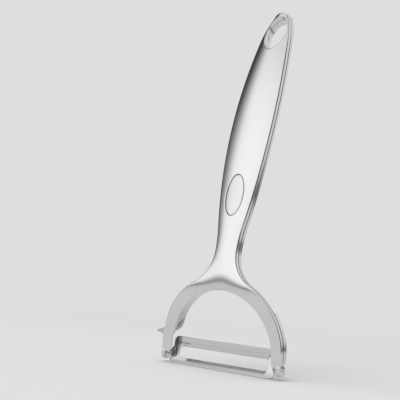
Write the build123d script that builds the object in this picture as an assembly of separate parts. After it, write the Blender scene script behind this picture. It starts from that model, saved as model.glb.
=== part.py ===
# Y-shaped vegetable peeler: two polished castings closed on a thin seal, with a
# swivelling steel blade between the ears and a pointed eye remover in the left arm.
#
# Working frame, in millimetres: X runs along the blade's pivot, Y to the back and Z up
# the handle. Zero is the middle of the pivot in X and Z, and the arms' front face in Y.
# At the end every piece moves together, so that the origin is the middle of the
# peeler's footprint, at its lowest point.

import os
from math import acos, atan2, cos, degrees, radians, sin, sqrt

from build123d import *

# Driving sizes of the head
OUTER_RADIUS = 32.7           # outside of the arch, and half the head's width
ARM_WIDTH = 5.4
INNER_RADIUS = OUTER_RADIUS - ARM_WIDTH
OUTER_CENTRE_HEIGHT = 4.8     # centre of the outer round above the pivot
INNER_CENTRE_HEIGHT = 3.5     # centre of the inner round above the pivot
LEG_END_HEIGHT = -0.2         # where each arm's front plate ends
LEG_CORNER_RADIUS = 2.0       # rounding of that end's inner corner
BACK_INNER_RADIUS = 25.3      # the back casting's inside slopes in to this round
BACK_INNER_CENTRE_HEIGHT = 5.5
ARCH_LEAN_HEIGHT = 18.0       # the arch's straight lean, which that slope follows
NECK_ROUND_RADIUS = 17.0      # hollow between arch and neck

# Driving sizes of the handle, whose half outline is a chain of rounds from neck to top
NECK_HALF_WIDTH = 5.95
FLARE_RADIUS = 63.0           # hollow round above the neck
FLARE_ANGLE = 10.0
SWELL_RADIUS = 299.0          # long swelling side
SWELL_ANGLE = 18.3
END_RADIUS = 53.0             # rounds in to the top
END_ANGLE = 16.7

# Side line of the front rim, from the arms' ends up: straight, forward, then back
FOOT_HEIGHT = 7.0             # straight up to here
FORWARD_RADIUS = 60.0
FORWARD_ANGLE = 7.5           # the arch leans forward by this
ARCH_LENGTH = 11.5            # length of the arch's straight lean
NECK_BEND_RADIUS = 45.0
NECK_LEAN = 8.45              # lean to the back above the neck's bend
SWEEP_RADIUS = 650.0          # long gentle bend of the handle
SWEEP_ANGLE = 14.0            # enough to run past the top
SIDE_SPARE = 12.0             # how far the side line starts below the ears

# Depths behind the front rim, across the sandwich
SEAM_DEPTH = 2.0              # back of the front casting's rim
GASKET_THICKNESS = 0.45
RIM_DEPTH = 5.3               # back rim of the back casting
WALL = 2.0
FRONT_CAVITY_DEPTH = 0.5      # bottom of the front casting's hollow
BACK_CAVITY_SKIN = 0.7        # what the back casting keeps behind its rim's level
CAVITY_LOW = 52.0             # the hollow's lower end above the pivot
HOLE_WALL = 3.2               # metal between the hollow and the hanging hole

# Crown of the front and the back
FRONT_CROWN = 2.3             # height at the handle's widest
BACK_CROWN = 1.7
CROWN_OVERHANG = 1.2          # how far the crowned form runs past the outline
FORM_DEPTH = 9.0              # how far a form runs past the castings' depth

# Places of the crown's sections: which round of the half outline, counted from the
# arch's shoulder, the share of the way along it, and the share of the full crown
CROWN_STATION_SHARES = [
    (0, 0, 0.015),
    (0, 0.15, 0.015),
    (0, 0.35, 0.015),
    (0, 0.6, 0.02),
    (0, 0.85, 0.04),
    (1, 0.1, 0.13),
    (1, 0.4, 0.3),
    (1, 1.0, 0.44),
    (2, 0.5, 0.53),
    (3, 0, 0.65),
    (3, 0.3, 0.9),
    (3, 0.6, 1.0),
    (3, 0.82, 0.9),
    (4, 0, 0.74),
    (4, 0.5, 0.58),
    (4, 1.0, 0.46),
]

# Hollowed front of the arch: a shallow dish whose rim crosses the arms
DISH_MARGIN = 0.7             # its rim would run this far outside the arch
DISH_RADIUS = OUTER_RADIUS + DISH_MARGIN
DISH_CENTRE_HEIGHT = -1.9
DISH_SLOPE = 0.10             # at its rim
DISH_SPREAD = 2.0             # how far its surface runs past the rim
DISH_TURN_SHARES = [-0.12, 0.03, 0.14, 0.26, 0.4, 0.55, 0.7, 0.84, 0.95]

# Room for the blade behind the arms' front plates, and the ears below them
PIVOT_DEPTH = 2.4             # pivot behind the arms' front face
PLATE_THICKNESS = 0.8
POCKET_FRONT_HEIGHT = 7.6     # the room's slanted ceiling, at the front face
POCKET_BACK_HEIGHT = 12.6     # and at the back rim
EAR_THICKNESS = 2.1
EAR_CORNER_RADIUS = 1.5
EAR_BOTTOM_HEIGHT = -3.5
BACK_ARM_END_HEIGHT = 1.8
EAR_GAP = 0.3                 # between each ear and the back casting's end
EAR_TOP_HEIGHT = BACK_ARM_END_HEIGHT - EAR_GAP

# Hanging hole
HOLE_DROP = 12.1              # its middle below the top
HOLE_HALF_WIDTH = 5.8
HOLE_HALF_LENGTH = 10.1
BACK_HOLE_MARGIN = 0.3        # the back casting's hole is larger by this all round

# Seal between the castings
GASKET_INSET = 0.35
GASKET_WIDTH = 1.25

# Badge plate on the neck
BADGE_HEIGHT = 74.8
BADGE_HALF_WIDTH = 4.65
BADGE_HALF_LENGTH = 10.0
BADGE_SINK = 0.18             # how far the plate lies below the crown
BADGE_GAP = 0.15
ADHESIVE_THICKNESS = 0.2
ADHESIVE_INSET = 0.6
BADGE_FLOOR = 0.3             # metal between the adhesive and the hollow

# Joining pins
PIN_RADIUS = 0.9
PIN_FRONT_LENGTH = 0.95
PIN_BACK_LENGTH = 2.0
PIN_CLEARANCE = 0.02
PIN_CHAMFER = 0.2
BOSS_RADIUS = 2.3
ARM_PIN_HEIGHT = 15.6
NECK_PIN_HEIGHT = 38.5
MIDDLE_PIN_HEIGHT = 96.0
UPPER_PIN_HEIGHT = 138.0

# Pivots
RIVET_RADIUS = 0.9
RIVET_HEAD_RADIUS = 1.45
RIVET_HEAD_HEIGHT = 0.85
RIVET_TAIL_HEIGHT = 0.4       # how far the rivet shows inside the blade's tab
DOME_SHARES = [(0, 1.0), (0.45, 0.93), (0.8, 0.68), (1.0, 0.3)]    # height, radius
TAIL_SHARES = [(1.0, 0.7), (0.4, 1.0)]
PIVOT_CLEARANCE = 0.05        # round the rivet in the blade's tab
SIDE_CLEARANCE = 0.1          # between the tab and the washer
WASHER_RADIUS = 1.3
WASHER_THICKNESS = 1.85

# Blade: heights are along its own plane, from the pivot
BLADE_TILT = 17.5             # the top leans back by this at rest
BLADE_HALF_LENGTH = OUTER_RADIUS - EAR_THICKNESS - WASHER_THICKNESS - SIDE_CLEARANCE
BLADE_TOP = 7.75
BLADE_BOTTOM = -5.2
BLADE_BOW = 1.4               # the strip's middle lies this far behind its edges
SHEET = 0.6
BLADE_CORNER_RADIUS = 2.4
SLOT_END_WIDTH = 3.95         # strip left at each end of the slot
SLOT_HALF_LENGTH = BLADE_HALF_LENGTH - SLOT_END_WIDTH
SLOT_TOP = 3.4
SLOT_BOTTOM = -1.9
SLOT_CORNER_RADIUS = 1.9
TAB_NOSE_RADIUS = 1.3
TAB_TOP = 3.9
TAB_BOTTOM = -2.9
GRIND_WIDTH = 1.5             # ground bevels along the slot
GRIND_DEPTH = 0.35
GRIND_LEFT_STOP = 5.2         # where they stop before the slot's ends
GRIND_RIGHT_STOP = 0.7

# Eye remover
EYE_THICKNESS = 1.0
EYE_POINT_LENGTH = 6.7        # out of the arm's side
EYE_TIP_HEIGHT = 8.8
EYE_TIP_RADIUS = 0.35
EYE_BASE_LOW = 6.9
EYE_BASE_HIGH = 11.2
EYE_STEM_WIDTH = 1.5
EYE_SKIN = 0.75               # casting left outside the insert's tang
EYE_TANG_HIGH = 18.0
EYE_TANG_LOW = 12.9
EYE_TANG_LENGTH = 6.8         # its inner end inside the arm's side
EYE_CLEARANCE = 0.03

CUT = 3.0                     # overrun of every cutting body
REACH = 60.0                  # past everything sideways and front to back
RIGHT_ANGLE = 90.0
HALVINGS = 40


def side_line(depth):
    """The peeler's side line, drawn in Y and Z, at a depth behind the front rim."""
    foot = Line((depth, EAR_BOTTOM_HEIGHT - SIDE_SPARE), (depth, FOOT_HEIGHT))
    forward = JernArc(foot @ 1, foot % 1, FORWARD_RADIUS + depth, FORWARD_ANGLE)
    arch = Line(forward @ 1, (forward @ 1) + (forward % 1) * ARCH_LENGTH)
    back_turn = -FORWARD_ANGLE - NECK_LEAN
    neck = JernArc(arch @ 1, arch % 1, NECK_BEND_RADIUS - depth, back_turn)
    handle = JernArc(neck @ 1, neck % 1, SWEEP_RADIUS - depth, -SWEEP_ANGLE)
    return [foot, forward, arch, neck, handle]


def rim_place(height):
    """Y and lean of the front rim's line at a height, found by halving."""
    line = Wire(side_line(0))
    low, high = 0, 1
    for _ in range(HALVINGS):
        middle = (low + high) / 2
        if (line @ middle).Y < height:
            low = middle
        else:
            high = middle
    direction = line % middle
    return (line @ middle).X, atan2(direction.X, direction.Y)


def rim_plane(height, depth):
    """Plane square to the handle at a height; its normal points to the front."""
    y, lean = rim_place(height)
    origin = (0, y + depth * cos(lean), height - depth * sin(lean))
    return Plane(origin=origin, x_dir=(1, 0, 0), z_dir=(0, -cos(lean), sin(lean)))


def slab(front, back):
    """Everything between two depths, as wide as the whole head."""
    near = side_line(front)
    far = side_line(back)
    ends = [Line(near[0] @ 0, far[0] @ 0), Line(near[-1] @ 1, far[-1] @ 1)]
    return extrude(Plane.YZ * make_face(near + far + ends), REACH, both=True)


def half_outline(inset):
    """Rounds of the right half outline from the arch's widest to the top, moved in."""
    reach = OUTER_RADIUS + NECK_ROUND_RADIUS
    lean = degrees(acos((NECK_HALF_WIDTH + NECK_ROUND_RADIUS) / reach))
    shoulder = CenterArc((0, OUTER_CENTRE_HEIGHT), OUTER_RADIUS - inset, 0, lean)
    neck = JernArc(shoulder @ 1, shoulder % 1, NECK_ROUND_RADIUS + inset, -lean)
    flare = JernArc(neck @ 1, neck % 1, FLARE_RADIUS + inset, -FLARE_ANGLE)
    swell = JernArc(flare @ 1, flare % 1, SWELL_RADIUS - inset, SWELL_ANGLE)
    end = JernArc(swell @ 1, swell % 1, END_RADIUS - inset, END_ANGLE)
    turned_in = SWELL_ANGLE + END_ANGLE - FLARE_ANGLE
    tip_radius = (end @ 1).X / cos(radians(turned_in))
    tip = JernArc(end @ 1, end % 1, tip_radius, RIGHT_ANGLE - turned_in)
    return [shoulder, neck, flare, swell, end, tip]


def top_height():
    """Height of the handle's top above the pivot."""
    return (half_outline(0)[-1] @ 1).Y


def hole_height():
    """Height of the hanging hole's middle above the pivot."""
    return top_height() - HOLE_DROP


def outline(inset):
    """Front outline of the Y, drawn in X and Z, moved inwards by an inset."""
    outer = OUTER_RADIUS - inset
    inner = INNER_RADIUS + inset
    round_x = inner + LEG_CORNER_RADIUS
    round_z = LEG_END_HEIGHT + LEG_CORNER_RADIUS
    leg = [
        Line((round_x, LEG_END_HEIGHT), (outer, LEG_END_HEIGHT)),
        Line((outer, LEG_END_HEIGHT), (outer, OUTER_CENTRE_HEIGHT)),
        CenterArc((round_x, round_z), LEG_CORNER_RADIUS, 2 * RIGHT_ANGLE, RIGHT_ANGLE),
        Line((inner, round_z), (inner, INNER_CENTRE_HEIGHT)),
    ]
    arch = CenterArc((0, INNER_CENTRE_HEIGHT), inner, 0, 2 * RIGHT_ANGLE)
    half = leg + half_outline(inset)
    return make_face(half + [arch] + [mirror(edge, Plane.YZ) for edge in half])


def prism(sketch):
    """A sketch drawn in X and Z, run through the whole depth."""
    return extrude(Plane.XZ * sketch, REACH, both=True)


def block(x_low, x_high, y_low, y_high, z_low, z_high):
    """A box between two corners."""
    size = (x_high - x_low, y_high - y_low, z_high - z_low)
    middle = ((x_low + x_high) / 2, (y_low + y_high) / 2, (z_low + z_high) / 2)
    return Pos(*middle) * Box(*size)


def both_sides(piece):
    """A piece on the right and its mirror image on the left."""
    return piece + mirror(piece, Plane.YZ)


def bowed_section(height, bow, half_width, spread, rim_depth, closing):
    """Level section bounded by a bowed line; it closes to a depth from the rim's line.

    The line bows to the front by bow at the middle plane, crosses the rim's level at
    the half width and runs on by the spread.
    """
    y, lean = rim_place(height)
    level = y + rim_depth / cos(lean)
    radius = (half_width**2 + bow**2) / (2 * abs(bow))
    reach = half_width + spread
    fall = radius - sqrt(radius**2 - reach**2)
    apex = level - bow
    edge = apex + fall if bow > 0 else apex - fall
    arc = ThreePointArc((-reach, edge), (0, apex), (reach, edge))
    far = level + closing
    rest = Polyline((reach, edge), (reach, far), (-reach, far), (-reach, edge))
    return Pos(0, 0, height) * make_face([arc] + rest.edges())


def crowned_form(crown, rim_depth, closing):
    """A form with a crowned face, wider than the outline and as tall as the peeler."""
    rounds = half_outline(0)
    places = [(rounds[index] @ along, share) for index, along, share in CROWN_STATION_SHARES]
    stations = [(point.Y, point.X, share) for point, share in places]
    below = [(height, *stations[0][1:]) for height in (EAR_BOTTOM_HEIGHT - CUT, 0)]
    above = [(top_height() + CUT, *stations[-1][1:])]
    return loft(
        [
            bowed_section(height, share * crown, width, CROWN_OVERHANG, rim_depth, closing)
            for height, width, share in below + stations + above
        ]
    )


def dish():
    """Shallow dish that hollows the front of the arch inside a round crease."""
    sections = []
    for share in DISH_TURN_SHARES:
        angle = radians(share * RIGHT_ANGLE)
        width = DISH_RADIUS * cos(angle)
        height = DISH_CENTRE_HEIGHT + DISH_RADIUS * sin(angle)
        bow = -DISH_SLOPE * width / 2
        sections.append(bowed_section(height, bow, width, DISH_SPREAD, 0, -FORM_DEPTH))
    return loft(sections)


def blade_room():
    """Space behind the arms' front plates where the blade's ends swing."""
    bottom = EAR_BOTTOM_HEIGHT - CUT
    rise = POCKET_BACK_HEIGHT - POCKET_FRONT_HEIGHT
    corners = [
        (-RIM_DEPTH, bottom),
        (-RIM_DEPTH, POCKET_FRONT_HEIGHT - rise),
        (2 * RIM_DEPTH, POCKET_BACK_HEIGHT + rise),
        (2 * RIM_DEPTH, bottom),
    ]
    side = Plane.YZ * make_face(Polyline(*corners, close=True))
    room = extrude(side, OUTER_RADIUS - EAR_THICKNESS, both=True)
    return room & slab(PLATE_THICKNESS, FORM_DEPTH + RIM_DEPTH)


def arch_face(radius, centre_height):
    """Opening inside the arch at one depth, drawn in X and Z, open below."""
    low = EAR_BOTTOM_HEIGHT - CUT
    sides = Polyline((-radius, centre_height), (-radius, low), (radius, low), (radius, centre_height))
    return make_face([CenterArc((0, centre_height), radius, 0, 2 * RIGHT_ANGLE)] + sides.edges())


def sloped_arch(front, back):
    """Arch opening of the back casting: it narrows from the seam to the back rim."""
    narrowing = (BACK_INNER_RADIUS - INNER_RADIUS) / (back - front)
    rise = (BACK_INNER_CENTRE_HEIGHT - INNER_CENTRE_HEIGHT) / (back - front)
    sections = []
    for past in (-CUT, back - front + CUT):
        face = arch_face(INNER_RADIUS + past * narrowing, INNER_CENTRE_HEIGHT + past * rise)
        level = rim_plane(ARCH_LEAN_HEIGHT, front + past)
        sections.append(level * Pos(0, -ARCH_LEAN_HEIGHT) * face)
    return loft(sections)


def hole_cutter(margin):
    """The hanging hole's oval, square to the handle, larger all round by a margin."""
    oval = Ellipse(HOLE_HALF_WIDTH + margin, HOLE_HALF_LENGTH + margin)
    return extrude(rim_plane(hole_height(), 0) * oval, REACH, both=True)


def pin_places():
    """Planes at the seam where the joining pins stand, two in the arms and three above."""
    arm_x = (OUTER_RADIUS + INNER_RADIUS) / 2
    arm_x -= (ARM_PIN_HEIGHT - INNER_CENTRE_HEIGHT) ** 2 / (2 * INNER_RADIUS)
    arms = [Pos(side * arm_x, 0, 0) * rim_plane(ARM_PIN_HEIGHT, SEAM_DEPTH) for side in (-1, 1)]
    heights = [NECK_PIN_HEIGHT, MIDDLE_PIN_HEIGHT, UPPER_PIN_HEIGHT]
    return arms + [rim_plane(height, SEAM_DEPTH) for height in heights]


def pin_run(radius, forward, backward):
    """A cylinder at each pin's place, from the seam forward and backward."""
    body = extrude(Circle(radius), forward) + extrude(Circle(radius), -backward)
    return [place * body for place in pin_places()]


def pin_holes():
    """Holes for the joining pins in both castings and the seal."""
    front = PIN_FRONT_LENGTH + PIN_CLEARANCE
    back = GASKET_THICKNESS + PIN_BACK_LENGTH + PIN_CLEARANCE
    return pin_run(PIN_RADIUS + PIN_CLEARANCE, front, back)


def cavity(front, back):
    """Hollow in the handle between two depths, inside the wall."""
    side = half_outline(WALL)[2:]
    foot = Line(side[0] @ 0, (-(side[0] @ 0).X, (side[0] @ 0).Y))
    shape = make_face(side + [mirror(edge, Plane.YZ) for edge in side] + [foot])
    high = hole_height() - HOLE_HALF_LENGTH - HOLE_WALL
    tall = block(-REACH, REACH, -REACH, REACH, CAVITY_LOW, high)
    return prism(shape) & slab(front, back) & tall


def handle_bosses(front, back):
    """Bosses round the joining pins inside the handle's hollow."""
    places = [rim_plane(height, SEAM_DEPTH) for height in (MIDDLE_PIN_HEIGHT, UPPER_PIN_HEIGHT)]
    room = slab(front, back)
    return [extrude(place * Circle(BOSS_RADIUS), REACH, both=True) & room for place in places]


def eye_sketch(clearance):
    """Outline of the eye remover in X and Z: point, stem inside the wall, and tang."""
    outer = OUTER_RADIUS
    stem_out = outer - EYE_SKIN + clearance
    stem_in = stem_out - EYE_STEM_WIDTH - 2 * clearance
    lean_out = outer - sqrt(outer**2 - (EYE_TANG_HIGH - OUTER_CENTRE_HEIGHT) ** 2)
    tang_out = stem_out - lean_out
    tang_in = EYE_TANG_LENGTH - outer + clearance
    points = [
        (-outer - EYE_POINT_LENGTH, EYE_TIP_HEIGHT),
        (-outer, EYE_BASE_HIGH + clearance),
        (-stem_out, EYE_BASE_HIGH + clearance),
        (-tang_out, EYE_TANG_HIGH + clearance),
        (tang_in, EYE_TANG_HIGH + clearance),
        (tang_in, EYE_TANG_LOW - clearance),
        (-stem_in, EYE_TANG_LOW - clearance),
        (-stem_in, EYE_BASE_LOW - clearance),
        (-outer, EYE_BASE_LOW - clearance),
    ]
    shape = make_face(Polyline(*points, close=True))
    tip = shape.vertices().sort_by(Axis.X)[0]
    return fillet(tip, EYE_TIP_RADIUS)


def eye_plate(front, back, clearance):
    """The eye remover's plate between two depths."""
    return prism(eye_sketch(clearance)) & slab(front, back)


def cast_form(front, back, form):
    """The Y between two depths, cut from a crowned form."""
    return form & slab(front, back) & prism(outline(0))


def ear():
    """The right ear: the outer wall running on below the arm, round at its corners."""
    height = EAR_TOP_HEIGHT - EAR_BOTTOM_HEIGHT
    side = RectangleRounded(2 * PIVOT_DEPTH, height, EAR_CORNER_RADIUS)
    middle = (EAR_TOP_HEIGHT + EAR_BOTTOM_HEIGHT) / 2
    side = Plane.YZ * Pos(PIVOT_DEPTH, middle) * side
    return Pos(OUTER_RADIUS - EAR_THICKNESS, 0, 0) * extrude(side, EAR_THICKNESS)


def badge_column(inset, low, high):
    """Oval column at the badge's place between two levels in front of the rim."""
    oval = Ellipse(BADGE_HALF_WIDTH - inset, BADGE_HALF_LENGTH - inset)
    return extrude(rim_plane(BADGE_HEIGHT, -low) * oval, high - low)


def badge_levels():
    """Levels of the recess floor and of the badge's back, in front of the rim."""
    floor = BADGE_FLOOR - FRONT_CAVITY_DEPTH
    return floor, floor + ADHESIVE_THICKNESS


def front_form():
    """The front casting before anything is cut from it."""
    form = crowned_form(FRONT_CROWN, 0, FORM_DEPTH)
    return cast_form(-FORM_DEPTH, SEAM_DEPTH, form) - dish()


def front_shell(form):
    """Front casting: crowned face, dished arch, front plates and ears."""
    floor = badge_levels()[0]
    shell = form - blade_room()
    shell += both_sides(ear())
    shell -= cavity(FRONT_CAVITY_DEPTH, SEAM_DEPTH + CUT)
    shell += handle_bosses(0, SEAM_DEPTH)
    shell -= pin_holes()
    shell -= badge_column(-BADGE_GAP, floor, REACH)
    shell -= hole_cutter(0)
    bore = Plane.YZ * Pos(PIVOT_DEPTH, 0) * Circle(RIVET_RADIUS)
    return shell - extrude(bore, REACH, both=True)


def back_shell():
    """Back casting: crowned back, full depth of the arms, stopping short of the ears."""
    front = SEAM_DEPTH + GASKET_THICKNESS
    form = crowned_form(-BACK_CROWN, RIM_DEPTH, -FORM_DEPTH)
    whole = prism(outline(0)) + prism(arch_face(INNER_RADIUS, INNER_CENTRE_HEIGHT))
    shell = form & slab(front, RIM_DEPTH + FORM_DEPTH) & whole
    shell -= sloped_arch(front, RIM_DEPTH)
    shell -= blade_room()
    shell -= block(-REACH, REACH, -REACH, REACH, -REACH, BACK_ARM_END_HEIGHT)
    shell -= cavity(front - CUT, RIM_DEPTH - BACK_CAVITY_SKIN)
    shell += handle_bosses(front, RIM_DEPTH)
    shell -= eye_plate(front - CUT, front + EYE_THICKNESS + EYE_CLEARANCE, EYE_CLEARANCE)
    shell -= pin_holes()
    return shell - hole_cutter(BACK_HOLE_MARGIN)


def seam_gasket():
    """Thin seal between the castings, set back from their edges."""
    whole = prism(outline(GASKET_INSET))
    band = whole - prism(outline(GASKET_INSET + GASKET_WIDTH))
    collar = hole_cutter(GASKET_INSET + GASKET_WIDTH) & whole
    seal = (band + collar) & slab(SEAM_DEPTH, SEAM_DEPTH + GASKET_THICKNESS)
    seal -= hole_cutter(GASKET_INSET)
    wide = OUTER_RADIUS - EAR_THICKNESS + GASKET_INSET
    rise = (POCKET_BACK_HEIGHT - POCKET_FRONT_HEIGHT) / RIM_DEPTH
    pocket = POCKET_FRONT_HEIGHT + rise * SEAM_DEPTH
    seal -= block(-wide, wide, 0, REACH, -REACH, pocket + GASKET_INSET + GASKET_THICKNESS)
    seal -= block(-REACH, REACH, -REACH, REACH, -REACH, BACK_ARM_END_HEIGHT + GASKET_INSET)
    return seal - pin_holes()


def badge_plate(form):
    """Bare oval plate with the crown's own curve, a little below it."""
    back = badge_levels()[1]
    sunk = rim_plane(BADGE_HEIGHT, 0).z_dir * -BADGE_SINK
    crowned = Pos(sunk.X, sunk.Y, sunk.Z) * form
    return crowned & badge_column(0, back, REACH)


def badge_adhesive():
    """Thin pad under the badge."""
    floor, back = badge_levels()
    return badge_column(ADHESIVE_INSET, floor, back)


def joining_pins():
    """Steel pins that hold the castings together."""
    length = PIN_FRONT_LENGTH + GASKET_THICKNESS + PIN_BACK_LENGTH
    pin = Pos(0, 0, PIN_FRONT_LENGTH - length / 2) * Cylinder(PIN_RADIUS, length)
    pin = chamfer(pin.edges().filter_by(GeomType.CIRCLE), PIN_CHAMFER)
    return [place * pin for place in pin_places()]


def eye_remover():
    """Pointed steel insert, clamped between the castings and pinned."""
    front = SEAM_DEPTH + GASKET_THICKNESS
    return eye_plate(front, front + EYE_THICKNESS, 0) - pin_holes()


def blade_arc(offset):
    """Radius and centre depth of the strip's hollow, for a surface set back by an offset."""
    half = (BLADE_TOP - BLADE_BOTTOM) / 2
    radius = (half**2 + BLADE_BOW**2) / (2 * BLADE_BOW)
    centre = BLADE_BOW - radius
    return radius + offset, centre


def strip_section():
    """The strip's section: depth behind the pivot across, height up."""
    middle = (BLADE_TOP + BLADE_BOTTOM) / 2
    radius, centre = blade_arc(0)
    ring = Circle(radius + SHEET / 2) - Circle(radius - SHEET / 2)
    ring = Pos(centre, middle) * ring
    height = BLADE_TOP - BLADE_BOTTOM
    return ring & Pos(radius, middle) * Rectangle(2 * radius, height)


def grind(height, upward):
    """Wedge that grinds the strip's front face down to the slot's edge at a height."""
    radius, centre = blade_arc(-SHEET / 2)
    middle = (BLADE_TOP + BLADE_BOTTOM) / 2
    far = height + upward * GRIND_WIDTH
    over = height - upward * SHEET
    edge_face, far_face = [centre + sqrt(radius**2 - (h - middle) ** 2) for h in (height, far)]
    ground = edge_face + GRIND_DEPTH
    corners = [
        (edge_face - SHEET, over),
        (ground, over),
        (ground, height),
        (far_face, far),
        (far_face - SHEET, far),
    ]
    wedge = Plane.YZ * make_face(Polyline(*corners, close=True))
    left = GRIND_LEFT_STOP - SLOT_HALF_LENGTH
    right = SLOT_HALF_LENGTH - GRIND_RIGHT_STOP
    return Pos(left, 0, 0) * extrude(wedge, right - left)


def blade_tab():
    """Right end tab, bent forward to the pivot."""
    radius, centre = blade_arc(SHEET / 2)
    middle = (BLADE_TOP + BLADE_BOTTOM) / 2
    depth = centre + radius
    corners = [
        (0, TAB_NOSE_RADIUS),
        (BLADE_BOW, TAB_TOP),
        (depth + SHEET, TAB_TOP),
        (depth + SHEET, TAB_BOTTOM),
        (BLADE_BOW, TAB_BOTTOM),
        (0, -TAB_NOSE_RADIUS),
    ]
    shape = make_face(Polyline(*corners, close=True)) + Circle(TAB_NOSE_RADIUS)
    shape &= Pos(centre, middle) * Circle(radius)
    shape -= Circle(RIVET_RADIUS + PIVOT_CLEARANCE)
    return Pos(BLADE_HALF_LENGTH - SHEET, 0, 0) * extrude(Plane.YZ * shape, SHEET)


def blade():
    """Swivelling blade: hollow strip with a long slot, ground at both edges, and two tabs."""
    strip = extrude(Plane.YZ * strip_section(), BLADE_HALF_LENGTH, both=True)
    middle = (BLADE_TOP + BLADE_BOTTOM) / 2
    height = BLADE_TOP - BLADE_BOTTOM
    whole = RectangleRounded(2 * BLADE_HALF_LENGTH, height, BLADE_CORNER_RADIUS)
    strip &= prism(Pos(0, middle) * whole)
    slot_middle = (SLOT_TOP + SLOT_BOTTOM) / 2
    slot = RectangleRounded(2 * SLOT_HALF_LENGTH, SLOT_TOP - SLOT_BOTTOM, SLOT_CORNER_RADIUS)
    strip -= prism(Pos(0, slot_middle) * slot)
    strip -= grind(SLOT_BOTTOM, -1)
    strip -= grind(SLOT_TOP, 1)
    strip += both_sides(blade_tab())
    return Pos(0, PIVOT_DEPTH, 0) * Rot(-BLADE_TILT, 0, 0) * strip


def turned(points):
    """A solid turned about the pivot's axis from points of X and radius."""
    start = (points[0][0], 0)
    end = (points[-1][0], 0)
    profile = make_face(Polyline(start, *points, end, close=True))
    return Pos(0, PIVOT_DEPTH, 0) * revolve(profile, Axis.X)


def pivot_rivet():
    """Right rivet: domed head outside the ear, and a shank that runs through the tab."""
    inside = BLADE_HALF_LENGTH - SHEET
    head = OUTER_RADIUS
    dome = [(head + RIVET_HEAD_HEIGHT * h, RIVET_HEAD_RADIUS * r) for h, r in DOME_SHARES]
    tail = [(inside - RIVET_TAIL_HEIGHT * h, RIVET_RADIUS * r) for h, r in TAIL_SHARES]
    return turned(tail + [(head, RIVET_RADIUS)] + dome)


def pivot_washer():
    """Right washer between the ear and the blade's tab."""
    start = BLADE_HALF_LENGTH + SIDE_CLEARANCE
    ring = Circle(WASHER_RADIUS) - Circle(RIVET_RADIUS + PIN_CLEARANCE)
    return Pos(start, PIVOT_DEPTH, 0) * extrude(Plane.YZ * ring, WASHER_THICKNESS)


def whole_peeler():
    """Every piece by its name, in the working frame."""
    form = front_form()
    rivet = pivot_rivet()
    washer = pivot_washer()
    return {
        "front_shell": front_shell(form),
        "back_shell": back_shell(),
        "seam_gasket": seam_gasket(),
        "badge_plate": badge_plate(form),
        "badge_adhesive": badge_adhesive(),
        "joining_pins": joining_pins(),
        "eye_remover": eye_remover(),
        "blade": blade(),
        "pivot_rivet_right": rivet,
        "pivot_rivet_left": mirror(rivet, Plane.YZ),
        "pivot_washer_right": washer,
        "pivot_washer_left": mirror(washer, Plane.YZ),
    }


def as_solids(piece):
    """One compound of a piece's solids."""
    parts = piece if isinstance(piece, list) else [piece]
    return Compound(children=[solid for part in parts for solid in part.solids()])


pieces = {name: as_solids(piece) for name, piece in whole_peeler().items()}
box = Compound(children=[Compound(p.wrapped) for p in pieces.values()]).bounding_box()
home = Pos(-box.center().X, -box.center().Y, -box.min.Z)
os.makedirs("parts", exist_ok=True)
for name, piece in pieces.items():
    export_step(home * piece, f"parts/{name}.step")
pivot = home * Pos(0, PIVOT_DEPTH, 0)
print("pivot", [round(v, 4) for v in pivot.position])
print("size", [round(v, 3) for v in box.size])
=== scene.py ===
# %% [markdown]
# # A Y-shaped vegetable peeler in Blender
#
# The peeler is two polished castings closed on a thin black seal, with a swivelling
# steel blade between its ears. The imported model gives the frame: every piece made here
# takes the place of one of its nodes, or gives that node a better finish. Lengths are
# millimetres in a working frame that has X along the blade's pivot, Y to the back and
# Z up the handle, with zero at the pivot and at the arms' front face.

# %% Load the frame
from math import acos, asin, atan2, cos, degrees, pi, radians, sin, sqrt
import bmesh
import bpy
import numpy as np
from mathutils import Matrix, Vector
from mathutils.geometry import delaunay_2d_cdt


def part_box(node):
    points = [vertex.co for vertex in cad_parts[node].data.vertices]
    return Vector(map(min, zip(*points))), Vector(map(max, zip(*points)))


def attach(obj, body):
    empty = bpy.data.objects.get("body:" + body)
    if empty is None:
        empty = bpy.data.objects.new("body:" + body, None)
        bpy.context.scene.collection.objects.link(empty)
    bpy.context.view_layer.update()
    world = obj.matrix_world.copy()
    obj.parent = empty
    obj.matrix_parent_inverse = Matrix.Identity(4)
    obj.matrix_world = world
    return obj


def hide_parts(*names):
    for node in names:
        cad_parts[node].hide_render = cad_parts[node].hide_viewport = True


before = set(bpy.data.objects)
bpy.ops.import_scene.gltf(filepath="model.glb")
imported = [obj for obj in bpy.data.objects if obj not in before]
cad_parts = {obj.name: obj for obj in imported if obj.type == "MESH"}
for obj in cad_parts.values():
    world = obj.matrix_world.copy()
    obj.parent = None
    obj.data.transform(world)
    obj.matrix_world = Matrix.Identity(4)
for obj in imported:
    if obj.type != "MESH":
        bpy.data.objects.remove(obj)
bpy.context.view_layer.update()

MM = 0.001                    # one millimetre in the scene's metres
TOUCH = 0.01                  # mm within which two points count as one place
PIVOT_DEPTH = 2.4             # mm from the arms' front face back to the pivot
RIVET_BOXES = [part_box(name) for name in ("pivot_rivet_left", "pivot_rivet_right")]
PIVOT = sum((low + high for low, high in RIVET_BOXES), Vector()) / 4
ORIGIN = PIVOT - Vector((0, PIVOT_DEPTH, 0)) * MM
print("pivot at", [round(value / MM, 3) for value in PIVOT])

# %% [markdown]
# ## Helpers
#
# Every mesh is built from points in millimetres and put in its place in the mesh
# itself, so the object stays at the origin, unturned and unscaled. A face that meets
# its neighbour at more than a set angle keeps a sharp edge, and the rest is smooth.

# %% Mesh helpers
SHARP_ANGLE = radians(32)
WELD = 0.0005                 # mm within which a finished mesh's points are merged


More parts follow.
